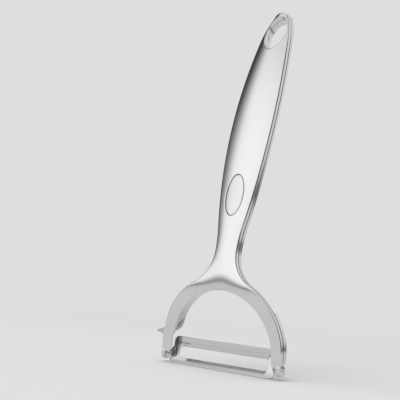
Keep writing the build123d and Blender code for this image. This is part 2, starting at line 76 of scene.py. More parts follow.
def mesh_piece(name, points, faces, attributes=None):
    """An object from points in millimetres, with a float attribute for each name."""
    mesh = bpy.data.meshes.new(name)
    mesh.from_pydata([tuple(point) for point in points], [], faces)
    for key, values in (attributes or {}).items():
        layer = mesh.attributes.new(key, "FLOAT", "POINT")
        layer.data.foreach_set("value", np.asarray(values, np.float32))
    piece = bpy.data.objects.new(name, mesh)
    bpy.context.scene.collection.objects.link(piece)
    return piece


def settle(piece, weld=WELD, creased=None):
    """Weld and recalculate a working mesh, then put it in the frame, in metres.

    Edges whose two ends the rule creased(x, z) holds for are kept sharp.
    """
    work = bmesh.new()
    work.from_mesh(piece.data)
    bmesh.ops.remove_doubles(work, verts=work.verts, dist=weld)
    bmesh.ops.recalc_face_normals(work, faces=work.faces)
    sharp = [
        edge.index for edge in work.edges
        if creased and all(creased(vert.co.x, vert.co.z) for vert in edge.verts)
    ]
    for vert in work.verts:
        vert.co = ORIGIN + vert.co * MM
    work.to_mesh(piece.data)
    open_edges = sum(1 for edge in work.edges if not edge.is_manifold)
    work.free()
    piece.data.polygons.foreach_set("use_smooth", [True] * len(piece.data.polygons))
    piece.data.set_sharp_from_angle(angle=SHARP_ANGLE)
    for index in sharp:
        piece.data.edges[index].use_edge_sharp = True
    print(piece.name, len(piece.data.polygons), "faces, open edges:", open_edges)
    return piece


def dress(piece, material, slot, body, *nodes):
    """Give a finished piece its material, its body and the nodes it replaces; slot is not used."""
    piece.data.materials.clear()
    piece.data.materials.append(material)
    if nodes:
        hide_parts(*nodes)
    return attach(piece, body)


print("edges stay sharp from", round(degrees(SHARP_ANGLE)), "degrees")

# %% [markdown]
# Pressing, bending and placing in pairs follow rules, so Geometry Nodes trees do them.
# One small function adds a node with its settings and links, here and in the
# materials. A tree's finished result becomes a plain mesh, because the export keeps
# meshes and not modifiers.

# %% Node helpers
def add(tree, kind, inputs=None, **settings):
    """Add a node, set its properties, and fill or link its inputs by name or index."""
    node = tree.nodes.new(kind)
    for key, value in settings.items():
        setattr(node, key, value)
    for key, value in (inputs or {}).items():
        if isinstance(value, bpy.types.NodeSocket):
            tree.links.new(value, node.inputs[key])
        else:
            node.inputs[key].default_value = value
    return node


def geometry_tree(name, sizes):
    """A Geometry Nodes tree with a mesh in and out and a float input for each size."""
    tree = bpy.data.node_groups.new(name, "GeometryNodeTree")
    tree.interface.new_socket("Geometry", in_out="INPUT", socket_type="NodeSocketGeometry")
    tree.interface.new_socket("Geometry", in_out="OUTPUT", socket_type="NodeSocketGeometry")
    for key, value in sizes.items():
        socket = tree.interface.new_socket(key, in_out="INPUT", socket_type="NodeSocketFloat")
        socket.default_value = value
    return tree, tree.nodes.new("NodeGroupInput").outputs


def close_tree(tree, geometry, material):
    """End a tree in Realize Instances and Set Material."""
    whole = add(tree, "GeometryNodeRealizeInstances", {0: geometry}).outputs[0]
    done = add(tree, "GeometryNodeSetMaterial", {"Geometry": whole, "Material": material})
    tree.links.new(done.outputs[0], tree.nodes.new("NodeGroupOutput").inputs[0])


def run_tree(piece, tree, sizes):
    """Run a tree on a piece with its sizes set, and keep the result as a plain mesh."""
    modifier = piece.modifiers.new(tree.name, "NODES")
    modifier.node_group = tree
    for item in tree.interface.items_tree:
        if item.item_type == "SOCKET" and item.in_out == "INPUT" and item.name in sizes:
            modifier[item.identifier] = float(sizes[item.name])
    graph = bpy.context.evaluated_depsgraph_get()
    made = bpy.data.meshes.new_from_object(piece.evaluated_get(graph))
    piece.modifiers.remove(modifier)
    old = piece.data
    piece.data = made
    bpy.data.meshes.remove(old)
    return piece


print("node helpers:", ", ".join(tool.__name__ for tool in (add, geometry_tree, close_tree, run_tree)))

# %% [markdown]
# ## Side line of the handle
#
# Seen from the side, the peeler follows a chain of straight runs and arcs: straight up
# from the ears, a lean to the front through the arch, a bend at the neck and one long
# sweep to the back. Depths are measured square to this line, so one function gives the
# line at any depth behind the front rim.

# %% Side line
FOOT_HEIGHT, FORWARD_RADIUS, FORWARD_TURN = 7.0, 60.0, radians(7.5)
ARCH_LENGTH, NECK_BEND_RADIUS, NECK_LEAN = 11.5, 45.0, radians(8.45)
SWEEP_RADIUS = 650.0
SEAM_DEPTH, GASKET_THICKNESS, RIM_DEPTH = 2.0, 0.45, 5.3


def square(lean):
    """Direction to the back, square to the side line at a lean, as (y, z)."""
    return np.array((cos(lean), -sin(lean)))


FORWARD_CENTRE = np.array((-FORWARD_RADIUS, FOOT_HEIGHT))
ARCH_START = FORWARD_CENTRE + FORWARD_RADIUS * np.array((cos(FORWARD_TURN), sin(FORWARD_TURN)))
ARCH_END = ARCH_START + ARCH_LENGTH * np.array((-sin(FORWARD_TURN), cos(FORWARD_TURN)))
NECK_CENTRE = ARCH_END + NECK_BEND_RADIUS * square(-FORWARD_TURN)
SWEEP_CENTRE = NECK_CENTRE + (SWEEP_RADIUS - NECK_BEND_RADIUS) * square(NECK_LEAN)


def side(height, depth=0.0):
    """Y and lean of the side line at a height, at a depth behind the front rim."""
    if height < FOOT_HEIGHT:
        return depth, 0.0
    forward = (height - FOOT_HEIGHT) / (FORWARD_RADIUS + depth)
    if forward < sin(FORWARD_TURN):
        turn = asin(forward)
        return (FORWARD_RADIUS + depth) * cos(turn) - FORWARD_RADIUS, -turn
    start = ARCH_START + depth * square(-FORWARD_TURN)
    rise = height - start[1]
    if rise < ARCH_LENGTH * cos(FORWARD_TURN):
        return start[0] - rise * sin(FORWARD_TURN) / cos(FORWARD_TURN), -FORWARD_TURN
    radius = NECK_BEND_RADIUS - depth
    lean = asin(max(-1.0, min(1.0, (height - NECK_CENTRE[1]) / radius)))
    if lean < NECK_LEAN:
        return NECK_CENTRE[0] - radius * cos(lean), lean
    radius = SWEEP_RADIUS - depth
    lean = asin((height - SWEEP_CENTRE[1]) / radius)
    return SWEEP_CENTRE[0] - radius * cos(lean), lean


print("rim at 160 mm:", [round(float(value), 3) for value in side(160)])

# %% [markdown]
# ## Front outline
#
# Seen from the front, each half of the handle is a chain of rounds that touch each
# other: the arch's shoulder, the hollow of the neck, the flare, the long swelling side,
# and two rounds that close the top. The head is a horseshoe with a straight-ended leg
# on each side. The outline is kept as points with their outward directions, so the
# same points can be moved inwards to round an edge.

# %% Outline
OUTER_RADIUS, INNER_RADIUS = 32.7, 27.3
OUTER_CENTRE, INNER_CENTRE = 4.8, 3.5
NECK_ROUND, NECK_HALF_WIDTH = 17.0, 5.95
FLARE_RADIUS, FLARE_ANGLE = 63.0, radians(10)
SWELL_RADIUS, SWELL_ANGLE = 299.0, radians(18.3)
END_RADIUS, END_ANGLE = 53.0, radians(16.7)
STEP = 0.7                    # mm between points along an outline
MITRE_LEAST = 0.4             # keeps a mitre at a sharp corner from growing too long


def arc(centre, radius, start, turn):
    """Points and outward directions on an arc; a negative radius is a hollow round."""
    count = max(2, round(abs(turn * radius) / STEP))
    angles = [start + turn * step / count for step in range(count + 1)]
    out = 1 if radius > 0 else -1
    size = abs(radius)
    return [
        (centre[0] + size * cos(a), centre[1] + size * sin(a), out * cos(a), out * sin(a))
        for a in angles
    ]


def run(start, end):
    """Points and outward directions on a straight run, outside on the right hand."""
    length = sqrt((end[0] - start[0]) ** 2 + (end[1] - start[1]) ** 2)
    count = max(1, round(length / STEP))
    normal = ((end[1] - start[1]) / length, -(end[0] - start[0]) / length)
    return [
        (
            start[0] + (end[0] - start[0]) * step / count,
            start[1] + (end[1] - start[1]) * step / count,
            *normal,
        )
        for step in range(count + 1)
    ]


def half_chain():
    """Rounds of the right half from the arch's widest to the middle of the top."""
    lean = acos((NECK_HALF_WIDTH + NECK_ROUND) / (OUTER_RADIUS + NECK_ROUND))
    parts = [arc((0, OUTER_CENTRE), OUTER_RADIUS, 0, lean)]
    place = np.array((0, OUTER_CENTRE)) + OUTER_RADIUS * np.array((cos(lean), sin(lean)))
    angle = lean
    chain = [
        (-NECK_ROUND, -lean),
        (-FLARE_RADIUS, -FLARE_ANGLE),
        (SWELL_RADIUS, SWELL_ANGLE),
        (END_RADIUS, END_ANGLE),
    ]
    stops = [place[1]]
    for radius, turn in chain:
        toward = np.array((cos(angle), sin(angle)))
        centre = place - radius * toward
        start = angle if radius > 0 else angle + pi
        parts.append(arc(centre, radius, start, turn))
        angle += turn
        place = centre + radius * np.array((cos(angle), sin(angle)))
        stops.append(place[1])
    radius = place[0] / cos(angle)
    centre = (0, place[1] - radius * sin(angle))
    parts.append(arc(centre, radius, angle, pi / 2 - angle))
    return parts, stops


HALF, STOPS = half_chain()
TOP = HALF[-1][-1][1]


def same_place(one, two):
    """Whether two points of a loop lie at one place."""
    return abs(one[0] - two[0]) + abs(one[1] - two[1]) < TOUCH


def mitred(x, z, before, after):
    """A corner point whose direction lies between those of the parts it joins."""
    (ox, oz), (nx, nz) = before, after
    scale = 1 / max(MITRE_LEAST, (1 + ox * nx + oz * nz) / 2)
    return x, z, (ox + nx) / 2 * scale, (oz + nz) / 2 * scale


def joined(parts):
    """One closed loop from parts that share their end points, mitred at the corners."""
    loop = []
    for part in parts:
        for x, z, nx, nz in part:
            if loop and same_place(loop[-1], (x, z)):
                loop[-1] = mitred(x, z, loop[-1][2:], (nx, nz))
            else:
                loop.append((x, z, nx, nz))
    first, last = loop[0], loop[-1]
    if same_place(first, last):
        loop[0] = mitred(*first[:2], last[2:], first[2:])
        loop.pop()
    return np.array(loop)


def mirrored(part):
    """The left side's copy of a part, run the other way."""
    return [(-x, z, -nx, nz) for x, z, nx, nz in reversed(part)]


def y_outline(leg_end, corner):
    """The Y's whole outline, anticlockwise, from the right leg's inner side."""
    foot = []
    inner_low = leg_end + corner
    if corner:
        foot = arc((INNER_RADIUS + corner, inner_low), corner, pi, pi / 2)
    leg = [
        run((INNER_RADIUS, INNER_CENTRE), (INNER_RADIUS, inner_low)),
        foot,
        run((INNER_RADIUS + corner, leg_end), (OUTER_RADIUS, leg_end)),
        run((OUTER_RADIUS, leg_end), (OUTER_RADIUS, OUTER_CENTRE)),
    ]
    right = [part for part in leg + HALF if part]
    left = [mirrored(part) for part in reversed(right)]
    over = arc((0, INNER_CENTRE), -INNER_RADIUS, pi, -pi)
    return joined(right + left + [over])


def half_width(height):
    """Half the outline's width at a height, kept constant above the last stop."""
    return np.interp(height, WIDTH_HEIGHTS, WIDTHS)


CHAIN_POINTS = [(z, x) for part in HALF[:-1] for x, z, _, _ in part]
WIDTH_HEIGHTS = [z for z, _ in CHAIN_POINTS]
WIDTHS = [x for _, x in CHAIN_POINTS]
print("top at", round(TOP, 3), "mm, rounds end at", [round(float(z), 1) for z in STOPS])

# %% [markdown]
# ## Crown and dish
#
# The front swells towards the viewer. The swelling starts at the neck, is highest
# above the middle of the handle and falls off to the top. A smooth rule through a few
# heights gives it, without the kinks that a chain of straight pieces would show as
# breaks in the reflections of a polished surface. The arch's front is hollowed the
# other way, as a shallow dish inside a round crease.

# %% Crown and dish
FRONT_CROWN, BACK_CROWN = 2.3, 1.7
CROWN_RULE = [                # height in mm, and share of the full crown there
    (-20, 0.015), (0, 0.015), (12, 0.015), (22, 0.015), (28, 0.02), (33, 0.07),
    (38, 0.24), (44, 0.41), (52, 0.53), (62, 0.68), (74, 0.82), (88, 0.93),
    (104, 0.99), (120, 1.0), (136, 0.95), (150, 0.8), (162, 0.6), (172, 0.44),
    (182, 0.34), (192, 0.3),
]
DISH_RADIUS, DISH_CENTRE, DISH_SLOPE = 33.4, -1.9, 0.10


def smooth_rule(points, steps=24):
    """Heights and values of the even cubic B-spline that a few points guide."""
    heights, values = [], []
    for index in range(len(points) - 3):
        for step in range(steps):
            t = step / steps
            weights = (
                (1 - t) ** 3 / 6,
                (3 * t**3 - 6 * t**2 + 4) / 6,
                (-3 * t**3 + 3 * t**2 + 3 * t + 1) / 6,
                t**3 / 6,
            )
            group = points[index:index + 4]
            heights.append(sum(w * point[0] for w, point in zip(weights, group)))
            values.append(sum(w * point[1] for w, point in zip(weights, group)))
    return heights, values


CROWN_HEIGHTS, CROWN_SHARES = smooth_rule(CROWN_RULE)


def crown_share(x, z):
    """Share of the full crown at a place on the handle."""
    width = half_width(z)
    return np.interp(z, CROWN_HEIGHTS, CROWN_SHARES) * (1 - (x / width) ** 2)


def dish_reach(x, z):
    """Depth of the dish for a slope of 1; negative outside its round crease."""
    chord = DISH_RADIUS**2 - (z - DISH_CENTRE) ** 2
    narrowest = 2.6           # mm; above the crease the rule goes on without a break
    return (chord - x**2) / (2 * sqrt(max(chord, narrowest**2)))


def front_level(x, z):
    """Y of the front face."""
    level = side(z)[0]
    crowned = level - FRONT_CROWN * crown_share(x, z)
    return max(crowned, level + DISH_SLOPE * dish_reach(x, z))


print("crown at 120 mm:", round(float(FRONT_CROWN * crown_share(0, 120)), 2), "mm")

# %% [markdown]
# ## Plates with rounded edges
#
# A casting, a pressed strip and a badge all have the same build: an outline with holes,
# a front and a back, and edges that are rounded off a little. The outline's points are
# moved inwards ring by ring to make the round, and the flat inside is filled with an
# even net of points by a Delaunay triangulation, so that a curved face gets enough
# points everywhere. Each point remembers which face it belongs to and how far the
# round has dropped it from that face.

# %% Loops with rounded corners
def filleted(corners, step=0.3):
    """An anticlockwise loop from corners given as x, z and the corner's radius."""
    count = len(corners)
    bends = []
    for index, (x, z, radius) in enumerate(corners):
        before, after = corners[index - 1], corners[(index + 1) % count]
        one = Vector((x - before[0], z - before[1])).normalized()
        two = Vector((after[0] - x, after[1] - z)).normalized()
        turn = atan2(one.x * two.y - one.y * two.x, one.dot(two))
        tangent = radius * abs(sin(turn) / (1 + cos(turn)))
        start = Vector((x, z)) - one * tangent
        bends.append((start, Vector((x, z)) + two * tangent, one, turn, radius))
    parts = []
    for index, (start, end, one, turn, radius) in enumerate(bends):
        if radius:
            hollow = -1 if turn < 0 else 1
            outward = Vector((one.y, -one.x))
            centre = start - outward * radius * hollow
            angle = atan2(outward.y * hollow, outward.x * hollow)
            pieces = max(2, round(abs(turn) * radius / step))
            angles = [angle + turn * share / pieces for share in range(pieces + 1)]
            parts.append([
                (centre.x + radius * cos(a), centre.y + radius * sin(a),
                 hollow * cos(a), hollow * sin(a))
                for a in angles
            ])
        following = bends[(index + 1) % count][0]
        if (following - end).length > TOUCH:
            parts.append(run(tuple(end), tuple(following)))
    return joined(parts)


def hole_of(loop):
    """The same loop as the edge of a hole: its outside is inside the hole."""
    return loop * np.array((1, 1, -1, -1))


def inside(points, loops):
    """Which points lie inside an odd number of loops."""
    odd = np.zeros(len(points), bool)
    px, pz = points[:, 0], points[:, 1]
    for loop in loops:
        ends = np.roll(loop, -1, axis=0)
        for (ax, az), (bx, bz) in zip(loop[:, :2], ends[:, :2]):
            if az == bz:
                continue
            crosses = (az > pz) != (bz > pz)
            odd ^= crosses & (px < (bx - ax) * (pz - az) / (bz - az) + ax)
    return odd


square_loop = filleted([(5, -5, 1), (5, 5, 1), (-5, 5, 1), (-5, -5, 1)])
print("a 10 mm square with 1 mm corners has", len(square_loop), "points")

# %% [markdown]
# A plate's rounded edge is a quarter round in a few steps. A pocket, such as the
# badge's recess, is a ring on the front, a wall, and a floor with a rule of its own.

# %% Fill and plate
ROUND_STEPS = 5
FRONT, BACK, FIXED = 0, 1, 2  # which face's level a point takes; fixed ones keep theirs
POCKET_ROUND = 0.3            # mm
GRID_CLEARANCE = 0.55         # share of the spacing that keeps grid points off the rings
SAME_POINT = 1e-5             # mm, the triangulation's own tolerance
SLIVER = 1e-5                 # twice the area in mm2 under which a triangle is dropped
OVAL_TRIES = 6                # rounds of solving that bring an oval's edge onto a face


def net(rings, spacing, lines=()):
    """Triangles inside rings of points; new points come after the rings' own."""
    edge_points = np.concatenate([ring[:, :2] for ring in rings])
    edges, start = [], 0
    for ring in rings:
        count = len(ring)
        edges += [(start + i, start + (i + 1) % count) for i in range(count)]
        start += count
    extra = [np.asarray(line) for line in lines]
    fixed = np.concatenate([edge_points] + extra)
    for line in extra:
        edges += [(start + i, start + i + 1) for i in range(len(line) - 1)]
        start += len(line)
    low, high = edge_points.min(0), edge_points.max(0)
    rows = np.arange(low[1], high[1], spacing * sqrt(3) / 2)
    across = np.arange(low[0], high[0], spacing)
    grid = np.array([
        (x + spacing / 2 * (row % 2), z) for row, z in enumerate(rows) for x in across
    ])
    grid = grid[inside(grid, rings)]
    near = np.array([np.min(np.sum((fixed - point) ** 2, axis=1)) for point in grid])
    grid = grid[near > (GRID_CLEARANCE * spacing) ** 2]
    points = np.concatenate([fixed, grid])
    result = delaunay_2d_cdt([Vector(p) for p in points], edges, [], 0, SAME_POINT, True)
    places, triangles, origins = result[0], result[2], result[3]
    order = [ids[0] if ids else -1 for ids in origins]
    corners = np.array([[tuple(places[i]) for i in triangle] for triangle in triangles])
    one, two = corners[:, 1] - corners[:, 0], corners[:, 2] - corners[:, 0]
    flat = abs(one[:, 0] * two[:, 1] - one[:, 1] * two[:, 0]) < SLIVER
    kept = inside(corners.mean(axis=1), rings) & ~flat
    faces = [
        [order[i] for i in triangle] for triangle, keep in zip(triangles, kept) if keep
    ]
    return points[len(edge_points):], faces


def plate(front_loops, back_loops, radii, spacings, lines=(), pockets=(), thin=None):
    """Points as (x, z, face, drop) and faces of a plate whose edges are rounded.

    A pocket is a loop on the front, a loop on its floor and a rule for the floor's Y.
    Where the plate's walls are thin, a rule of the height lessens the rounds.
    """
    points, faces = [], []

    def ring(loop, radius, turn, face):
        start = len(points)
        for x, z, nx, nz in loop[:, :4]:
            size = radius * (thin(z) if thin else 1)
            inset = size * (1 - sin(turn))
            points.append((x - nx * inset, z - nz * inset, face, size * (1 - cos(turn))))
        return list(range(start, len(points)))

    def bridge(rings):
        for one, two in zip(rings, rings[1:]):
            for i in range(len(one)):
                j = (i + 1) % len(one)
                faces.append((one[i], one[j], two[j], two[i]))

    outer_rings = ([], [])
    turns = [pi / 2 * step / ROUND_STEPS for step in range(ROUND_STEPS + 1)]
    for front, back in zip(front_loops, back_loops):
        rings = [ring(front, radii[0], turn, FRONT) for turn in turns]
        rings += [ring(back, radii[1], turn, BACK) for turn in reversed(turns)]
        bridge(rings)
        outer_rings[FRONT].append(rings[0])
        outer_rings[BACK].append(rings[-1])
    floors = []
    for front, floor, level in pockets:
        rings = [ring(front, POCKET_ROUND, turn, FRONT) for turn in turns]
        start = len(points)
        points += [(x, z, FIXED, level(x, z)) for x, z in floor[:, :2]]
        rings.append(list(range(start, len(points))))
        bridge(rings)
        outer_rings[FRONT].append(rings[0])
        floors.append((rings[-1], level))
    for face, spacing in ((FRONT, spacings[0]), (BACK, spacings[1])):
        rings = outer_rings[face]
        loops = [np.array([points[i][:2] for i in ring]) for ring in rings]
        fresh, triangles = net(loops, spacing, lines if face == FRONT else ())
        order = [i for ring in rings for i in ring]
        order += list(range(len(points), len(points) + len(fresh)))
        points += [(x, z, face, 0.0) for x, z in fresh]
        faces += [tuple(order[i] for i in triangle) for triangle in triangles]
    for ring_ids, level in floors:
        loop = np.array([points[i][:2] for i in ring_ids])
        fresh, triangles = net([loop], spacings[1])
        order = ring_ids + list(range(len(points), len(points) + len(fresh)))
        points += [(x, z, FIXED, level(x, z)) for x, z in fresh]
        faces += [tuple(order[i] for i in triangle) for triangle in triangles]
    return np.array(points), faces


def oval(height, half_width, half_length, level, count=72):
    """Edge of an oval hole square to the handle, where it meets a level's Y."""
    middle, lean = side(height)
    loop = []
    for step in range(count):
        turn = 2 * pi * step / count
        x, along = half_width * cos(turn), half_length * sin(turn)
        z = height + along * cos(lean)
        for _ in range(OVAL_TRIES):
            ahead = (middle + along * sin(lean) - level(x, z)) / cos(lean)
            z = height + along * cos(lean) + ahead * sin(lean)
        out = Vector((cos(turn) / half_width, sin(turn) / half_length)).normalized()
        loop.append((x, z, -out.x, -out.y))
    return np.array(loop)


sample = plate([square_loop], [square_loop], (0.5, 0.5), (1.0, 1.0))
print("as a plate it has", len(sample[0]), "points and", len(sample[1]), "faces")

# %% [markdown]
# ## Press the castings
#
# The castings' faces follow a rule, so one Geometry Nodes tree presses them: a flat
# blank carries, at each point, the plain level of its face, its share of the crown and
# its share of the dish, and the tree's own inputs say how high the crown and how steep
# the dish are. Changing one number changes the whole casting.

# %% Press tree
CAST = bpy.data.materials.new("chrome_plated_zinc_polished")


def press_tree():
    """Sets each point's Y from its level, its crown share and its dish share."""
    tree, sizes = geometry_tree("press", {"Crown": FRONT_CROWN, "Dish slope": DISH_SLOPE})

    def stored(name):
        return add(
            tree, "GeometryNodeInputNamedAttribute", {"Name": name}, data_type="FLOAT"
        ).outputs[0]

    level = stored("level")
    raised = add(tree, "ShaderNodeMath", {0: sizes["Crown"], 1: stored("lift")},
                 operation="MULTIPLY").outputs[0]
    crowned = add(tree, "ShaderNodeMath", {0: level, 1: raised}, operation="SUBTRACT")
    hollow = add(tree, "ShaderNodeMath", {0: sizes["Dish slope"], 1: stored("dip"), 2: level},
                 operation="MULTIPLY_ADD")
    y = add(tree, "ShaderNodeMath", {0: crowned.outputs[0], 1: hollow.outputs[0]},
            operation="MAXIMUM").outputs[0]
    place = add(tree, "GeometryNodeInputPosition").outputs[0]
    flat = add(tree, "ShaderNodeSeparateXYZ", {0: place}).outputs
    pressed = add(tree, "ShaderNodeCombineXYZ", {0: flat[0], 1: y, 2: flat[2]}).outputs[0]
    moved = add(tree, "GeometryNodeSetPosition",
                {"Geometry": sizes["Geometry"], "Position": pressed})
    close_tree(tree, moved.outputs[0], CAST)
    return tree


PRESS = press_tree()
print("press tree:", len(PRESS.nodes), "nodes")


def pressed(name, points, faces, front, back, crown, share, reach):
    """A casting from a plate's points: levels in front and behind, and its shares."""
    level = [
        front(x, z) + drop if face == FRONT else back(x, z) - drop if face == BACK else drop
        for x, z, face, drop in points
    ]
    lift = [share(x, z, face) for x, z, face, _ in points]
    dip = [reach(x, z) if face == FRONT else -1.0 for x, z, face, _ in points]
    flat = [(x, 0, z) for x, z, _, _ in points]
    piece = mesh_piece(name, flat, faces, {"level": level, "lift": lift, "dip": dip})
    run_tree(piece, PRESS, {"Crown": crown, "Dish slope": DISH_SLOPE})
    return piece


def joined_with(piece, tool, operation):
    """Cut a piece by a closed tool, or join the two, and take the tool away."""
    for item in (piece, tool):
        work = bmesh.new()
        work.from_mesh(item.data)
        bmesh.ops.recalc_face_normals(work, faces=work.faces)
        work.to_mesh(item.data)
        work.free()
    modifier = piece.modifiers.new(operation, "BOOLEAN")
    modifier.operation, modifier.object, modifier.solver = operation, tool, "EXACT"
    graph = bpy.context.evaluated_depsgraph_get()
    made = bpy.data.meshes.new_from_object(piece.evaluated_get(graph))
    piece.modifiers.remove(modifier)
    piece.data = made
    bpy.data.objects.remove(tool)
    return piece


def plate_mesh(name, points, faces, place):
    """A plate's mesh, each point put in X, Y and Z by a rule."""
    return mesh_piece(name, [place(*point) for point in points], faces)


# %% [markdown]
# ### Front casting
#
# The front casting is a thin shell with the crowned face. Its badge recess and its
# hanging hole are cut square to the handle, so their edges are solved on the crown.
# The crease of the dish is a line of its own in the net, so that it stays crisp.

# %% Front casting
FRONT_ARM_END, FOOT_ROUND = -0.2, 2.0
RIM_ROUND, SEAM_ROUND = 0.42, 0.12
THIN_FROM, THIN_TO, THIN_SHARE = 148, 160, 0.35
FACE_SPACING, HIDDEN_SPACING = 0.65, 2.5
BADGE_HEIGHT, BADGE_HALF_WIDTH, BADGE_HALF_LENGTH = 74.8, 4.65, 10.0
BADGE_GAP, BADGE_SINK = 0.15, 0.18
HOLE_HEIGHT = TOP - 12.1
HOLE_HALF_WIDTH, HOLE_HALF_LENGTH = 5.8, 10.1
ROOM_HALF_WIDTH = 30.6
CREASE_NEAREST, CREASE_FARTHEST, CREASE_STEPS, HALVINGS = 31.0, 37.0, 239, 30
CREASE_MARGIN = 0.25          # mm that the crease keeps from the rim's round
ON_CREASE = 0.003             # mm


def fall(x, z):
    """How far the dish lies behind the crown; zero on the crease."""
    return FRONT_CROWN * crown_share(x, z) + DISH_SLOPE * dish_reach(x, z)


def crease_line():
    """Points along the whole crease, each found by halving a distance."""
    line = []
    for step in range(CREASE_STEPS + 1):
        turn = pi * step / CREASE_STEPS
        low, high = CREASE_NEAREST, CREASE_FARTHEST
        for _ in range(HALVINGS):
            radius = (low + high) / 2
            x, z = radius * cos(turn), DISH_CENTRE + radius * sin(turn)
            low, high = (radius, high) if fall(x, z) > 0 else (low, radius)
        line.append((x, z))
    return np.array(line)


def on_crease(x, z):
    """Whether a point lies on the crease between the crown and the dish."""
    return z > DISH_CENTRE and abs(fall(x, z)) < ON_CREASE


OUTLINE = y_outline(FRONT_ARM_END, FOOT_ROUND)
face_loop = OUTLINE[:, :2] - OUTLINE[:, 2:] * (RIM_ROUND + CREASE_MARGIN)
crease = crease_line()
crease = crease[inside(crease, [face_loop])]
print("crease from", crease[0].round(1), "to", crease[-1].round(1))


def seam_level(x, z):
    """Y of the front casting's back, on the seal."""
    return side(z, SEAM_DEPTH)[0]


def thin_top(height):
    """Share of the edges' rounds that the thin wall round the hanging hole allows."""
    return float(np.interp(height, (THIN_FROM, THIN_TO), (1.0, THIN_SHARE)))


def badge_plane(ahead):
    """Rule for the Y of a plane square to the handle at the badge, ahead of the rim."""
    y, lean = side(BADGE_HEIGHT)
    return lambda x, z: y + ((z - BADGE_HEIGHT) * sin(lean) - ahead) / cos(lean)


RECESS_FLOOR = -0.2           # mm ahead of the rim, so a little behind it
recess_sizes = (BADGE_HALF_WIDTH + BADGE_GAP, BADGE_HALF_LENGTH + BADGE_GAP)
floor_level = badge_plane(RECESS_FLOOR)
recess = (
    oval(BADGE_HEIGHT, *recess_sizes, front_level),
    oval(BADGE_HEIGHT, *recess_sizes, floor_level),
    floor_level,
)
hole_front = oval(HOLE_HEIGHT, HOLE_HALF_WIDTH, HOLE_HALF_LENGTH, front_level)
hole_seam = oval(HOLE_HEIGHT, HOLE_HALF_WIDTH, HOLE_HALF_LENGTH, seam_level)
points, faces = plate(
    [OUTLINE, hole_front], [OUTLINE, hole_seam], (RIM_ROUND, SEAM_ROUND),
    (FACE_SPACING, HIDDEN_SPACING), [crease], [recess], thin_top,
)
front_shell = pressed(
    "front_shell_cast", points, faces,
    lambda x, z: side(z)[0], seam_level, FRONT_CROWN,
    lambda x, z, face: crown_share(x, z) if face == FRONT else 0.0, dish_reach,
)
print(len(front_shell.data.vertices), "points in the front casting")

# %% [markdown]
# The blade swings in a room behind the arms' front plates, and an ear runs on below
# each arm. Both have simple shapes, so they are closed tools that a Boolean takes from
# the casting or joins to it.

# %% Room and ears
PLATE_THICKNESS = 0.8
ROOM_FRONT, ROOM_BACK = 7.6, 12.6
EAR_LOW, EAR_HIGH, EAR_DEPTH, EAR_CORNER, EAR_ROUND = -3.5, 1.5, 4.8, 1.5, 0.3
EAR_SPACING = 0.8
HAIR = 0.01                   # keeps a Boolean's tool off the casting's own planes


def room_tool():
    """Prism of the blade's room, from behind the front plates to past back and ears."""
    slope = (ROOM_BACK - ROOM_FRONT) / RIM_DEPTH
    deep, low = 12.0, -9.0
    section = [
        (PLATE_THICKNESS, low),
        (deep, low),
        (deep, ROOM_FRONT + slope * deep),
        (PLATE_THICKNESS, ROOM_FRONT + slope * PLATE_THICKNESS),
    ]
    points = [(x, y, z) for x in (-ROOM_HALF_WIDTH, ROOM_HALF_WIDTH) for y, z in section]
    sides = [(i, (i + 1) % 4, 4 + (i + 1) % 4, 4 + i) for i in range(4)]
    return mesh_piece("room_tool", points, sides + [(0, 1, 2, 3), (7, 6, 5, 4)])


def ear_tool(hand):
    """The ear on one side: a rounded plate square to the pivot."""
    near, far = HAIR, EAR_DEPTH - HAIR
    corners = ((near, EAR_LOW), (far, EAR_LOW), (far, EAR_HIGH), (near, EAR_HIGH))
    loop = filleted([(*corner, EAR_CORNER) for corner in corners])
    points, faces = plate([loop], [loop], (EAR_ROUND, EAR_ROUND), (EAR_SPACING, EAR_SPACING))

    def place(y, z, face, drop):
        outside, inner = OUTER_RADIUS - HAIR, ROOM_HALF_WIDTH + HAIR
        return hand * (outside - drop if face == BACK else inner + drop), y, z

    return plate_mesh("ear_tool", points, faces, place)


joined_with(front_shell, room_tool(), "DIFFERENCE")
for hand in (-1, 1):
    joined_with(front_shell, ear_tool(hand), "UNION")
settle(front_shell, creased=on_crease)

# %% [markdown]
# ### Back casting
#
# The back casting is thicker, swells to the back, and its inside slopes in under the
# arch. It uses the same outline, cut off above the ears. Its inner points are moved in
# for the back face, so the wall between the two faces slopes by itself.

# %% Back casting
BACK_ARM_END = 1.8
BACK_INNER_RADIUS, BACK_INNER_CENTRE = 25.3, 5.5
ARCH_LEAN_HEIGHT = 18.0
BACK_ROUND, BACK_SPACING = 0.7, 0.8
BACK_HOLE_MARGIN = 0.3        # the back's hole is this much wider than the front's
BACK_WELD = 0.03              # closes the hairline steps that the cut leaves at the arms' ends


def sloped(loop, depth):
    """A loop whose arch is moved to its place at a depth behind the rim."""
    start = SEAM_DEPTH + GASKET_THICKNESS
    share = (depth - start) / (RIM_DEPTH - start)
    radius = INNER_RADIUS + share * (BACK_INNER_RADIUS - INNER_RADIUS)
    centre = INNER_CENTRE + share * (BACK_INNER_CENTRE - INNER_CENTRE)
    lean = FORWARD_TURN
    moved = loop.copy()
    for index, (x, z, _, _) in enumerate(loop):
        reach = sqrt(x**2 + (z - INNER_CENTRE) ** 2)
        if z >= INNER_CENTRE and reach < INNER_RADIUS + TOUCH:
            up = centre + radius * (z - INNER_CENTRE) / INNER_RADIUS
            up = ARCH_LEAN_HEIGHT + depth * sin(lean) + (up - ARCH_LEAN_HEIGHT) * cos(lean)
            moved[index, :2] = (x * radius / INNER_RADIUS, up)
        elif abs(x) < INNER_RADIUS + TOUCH:
            moved[index, 0] = x * radius / INNER_RADIUS
    return moved


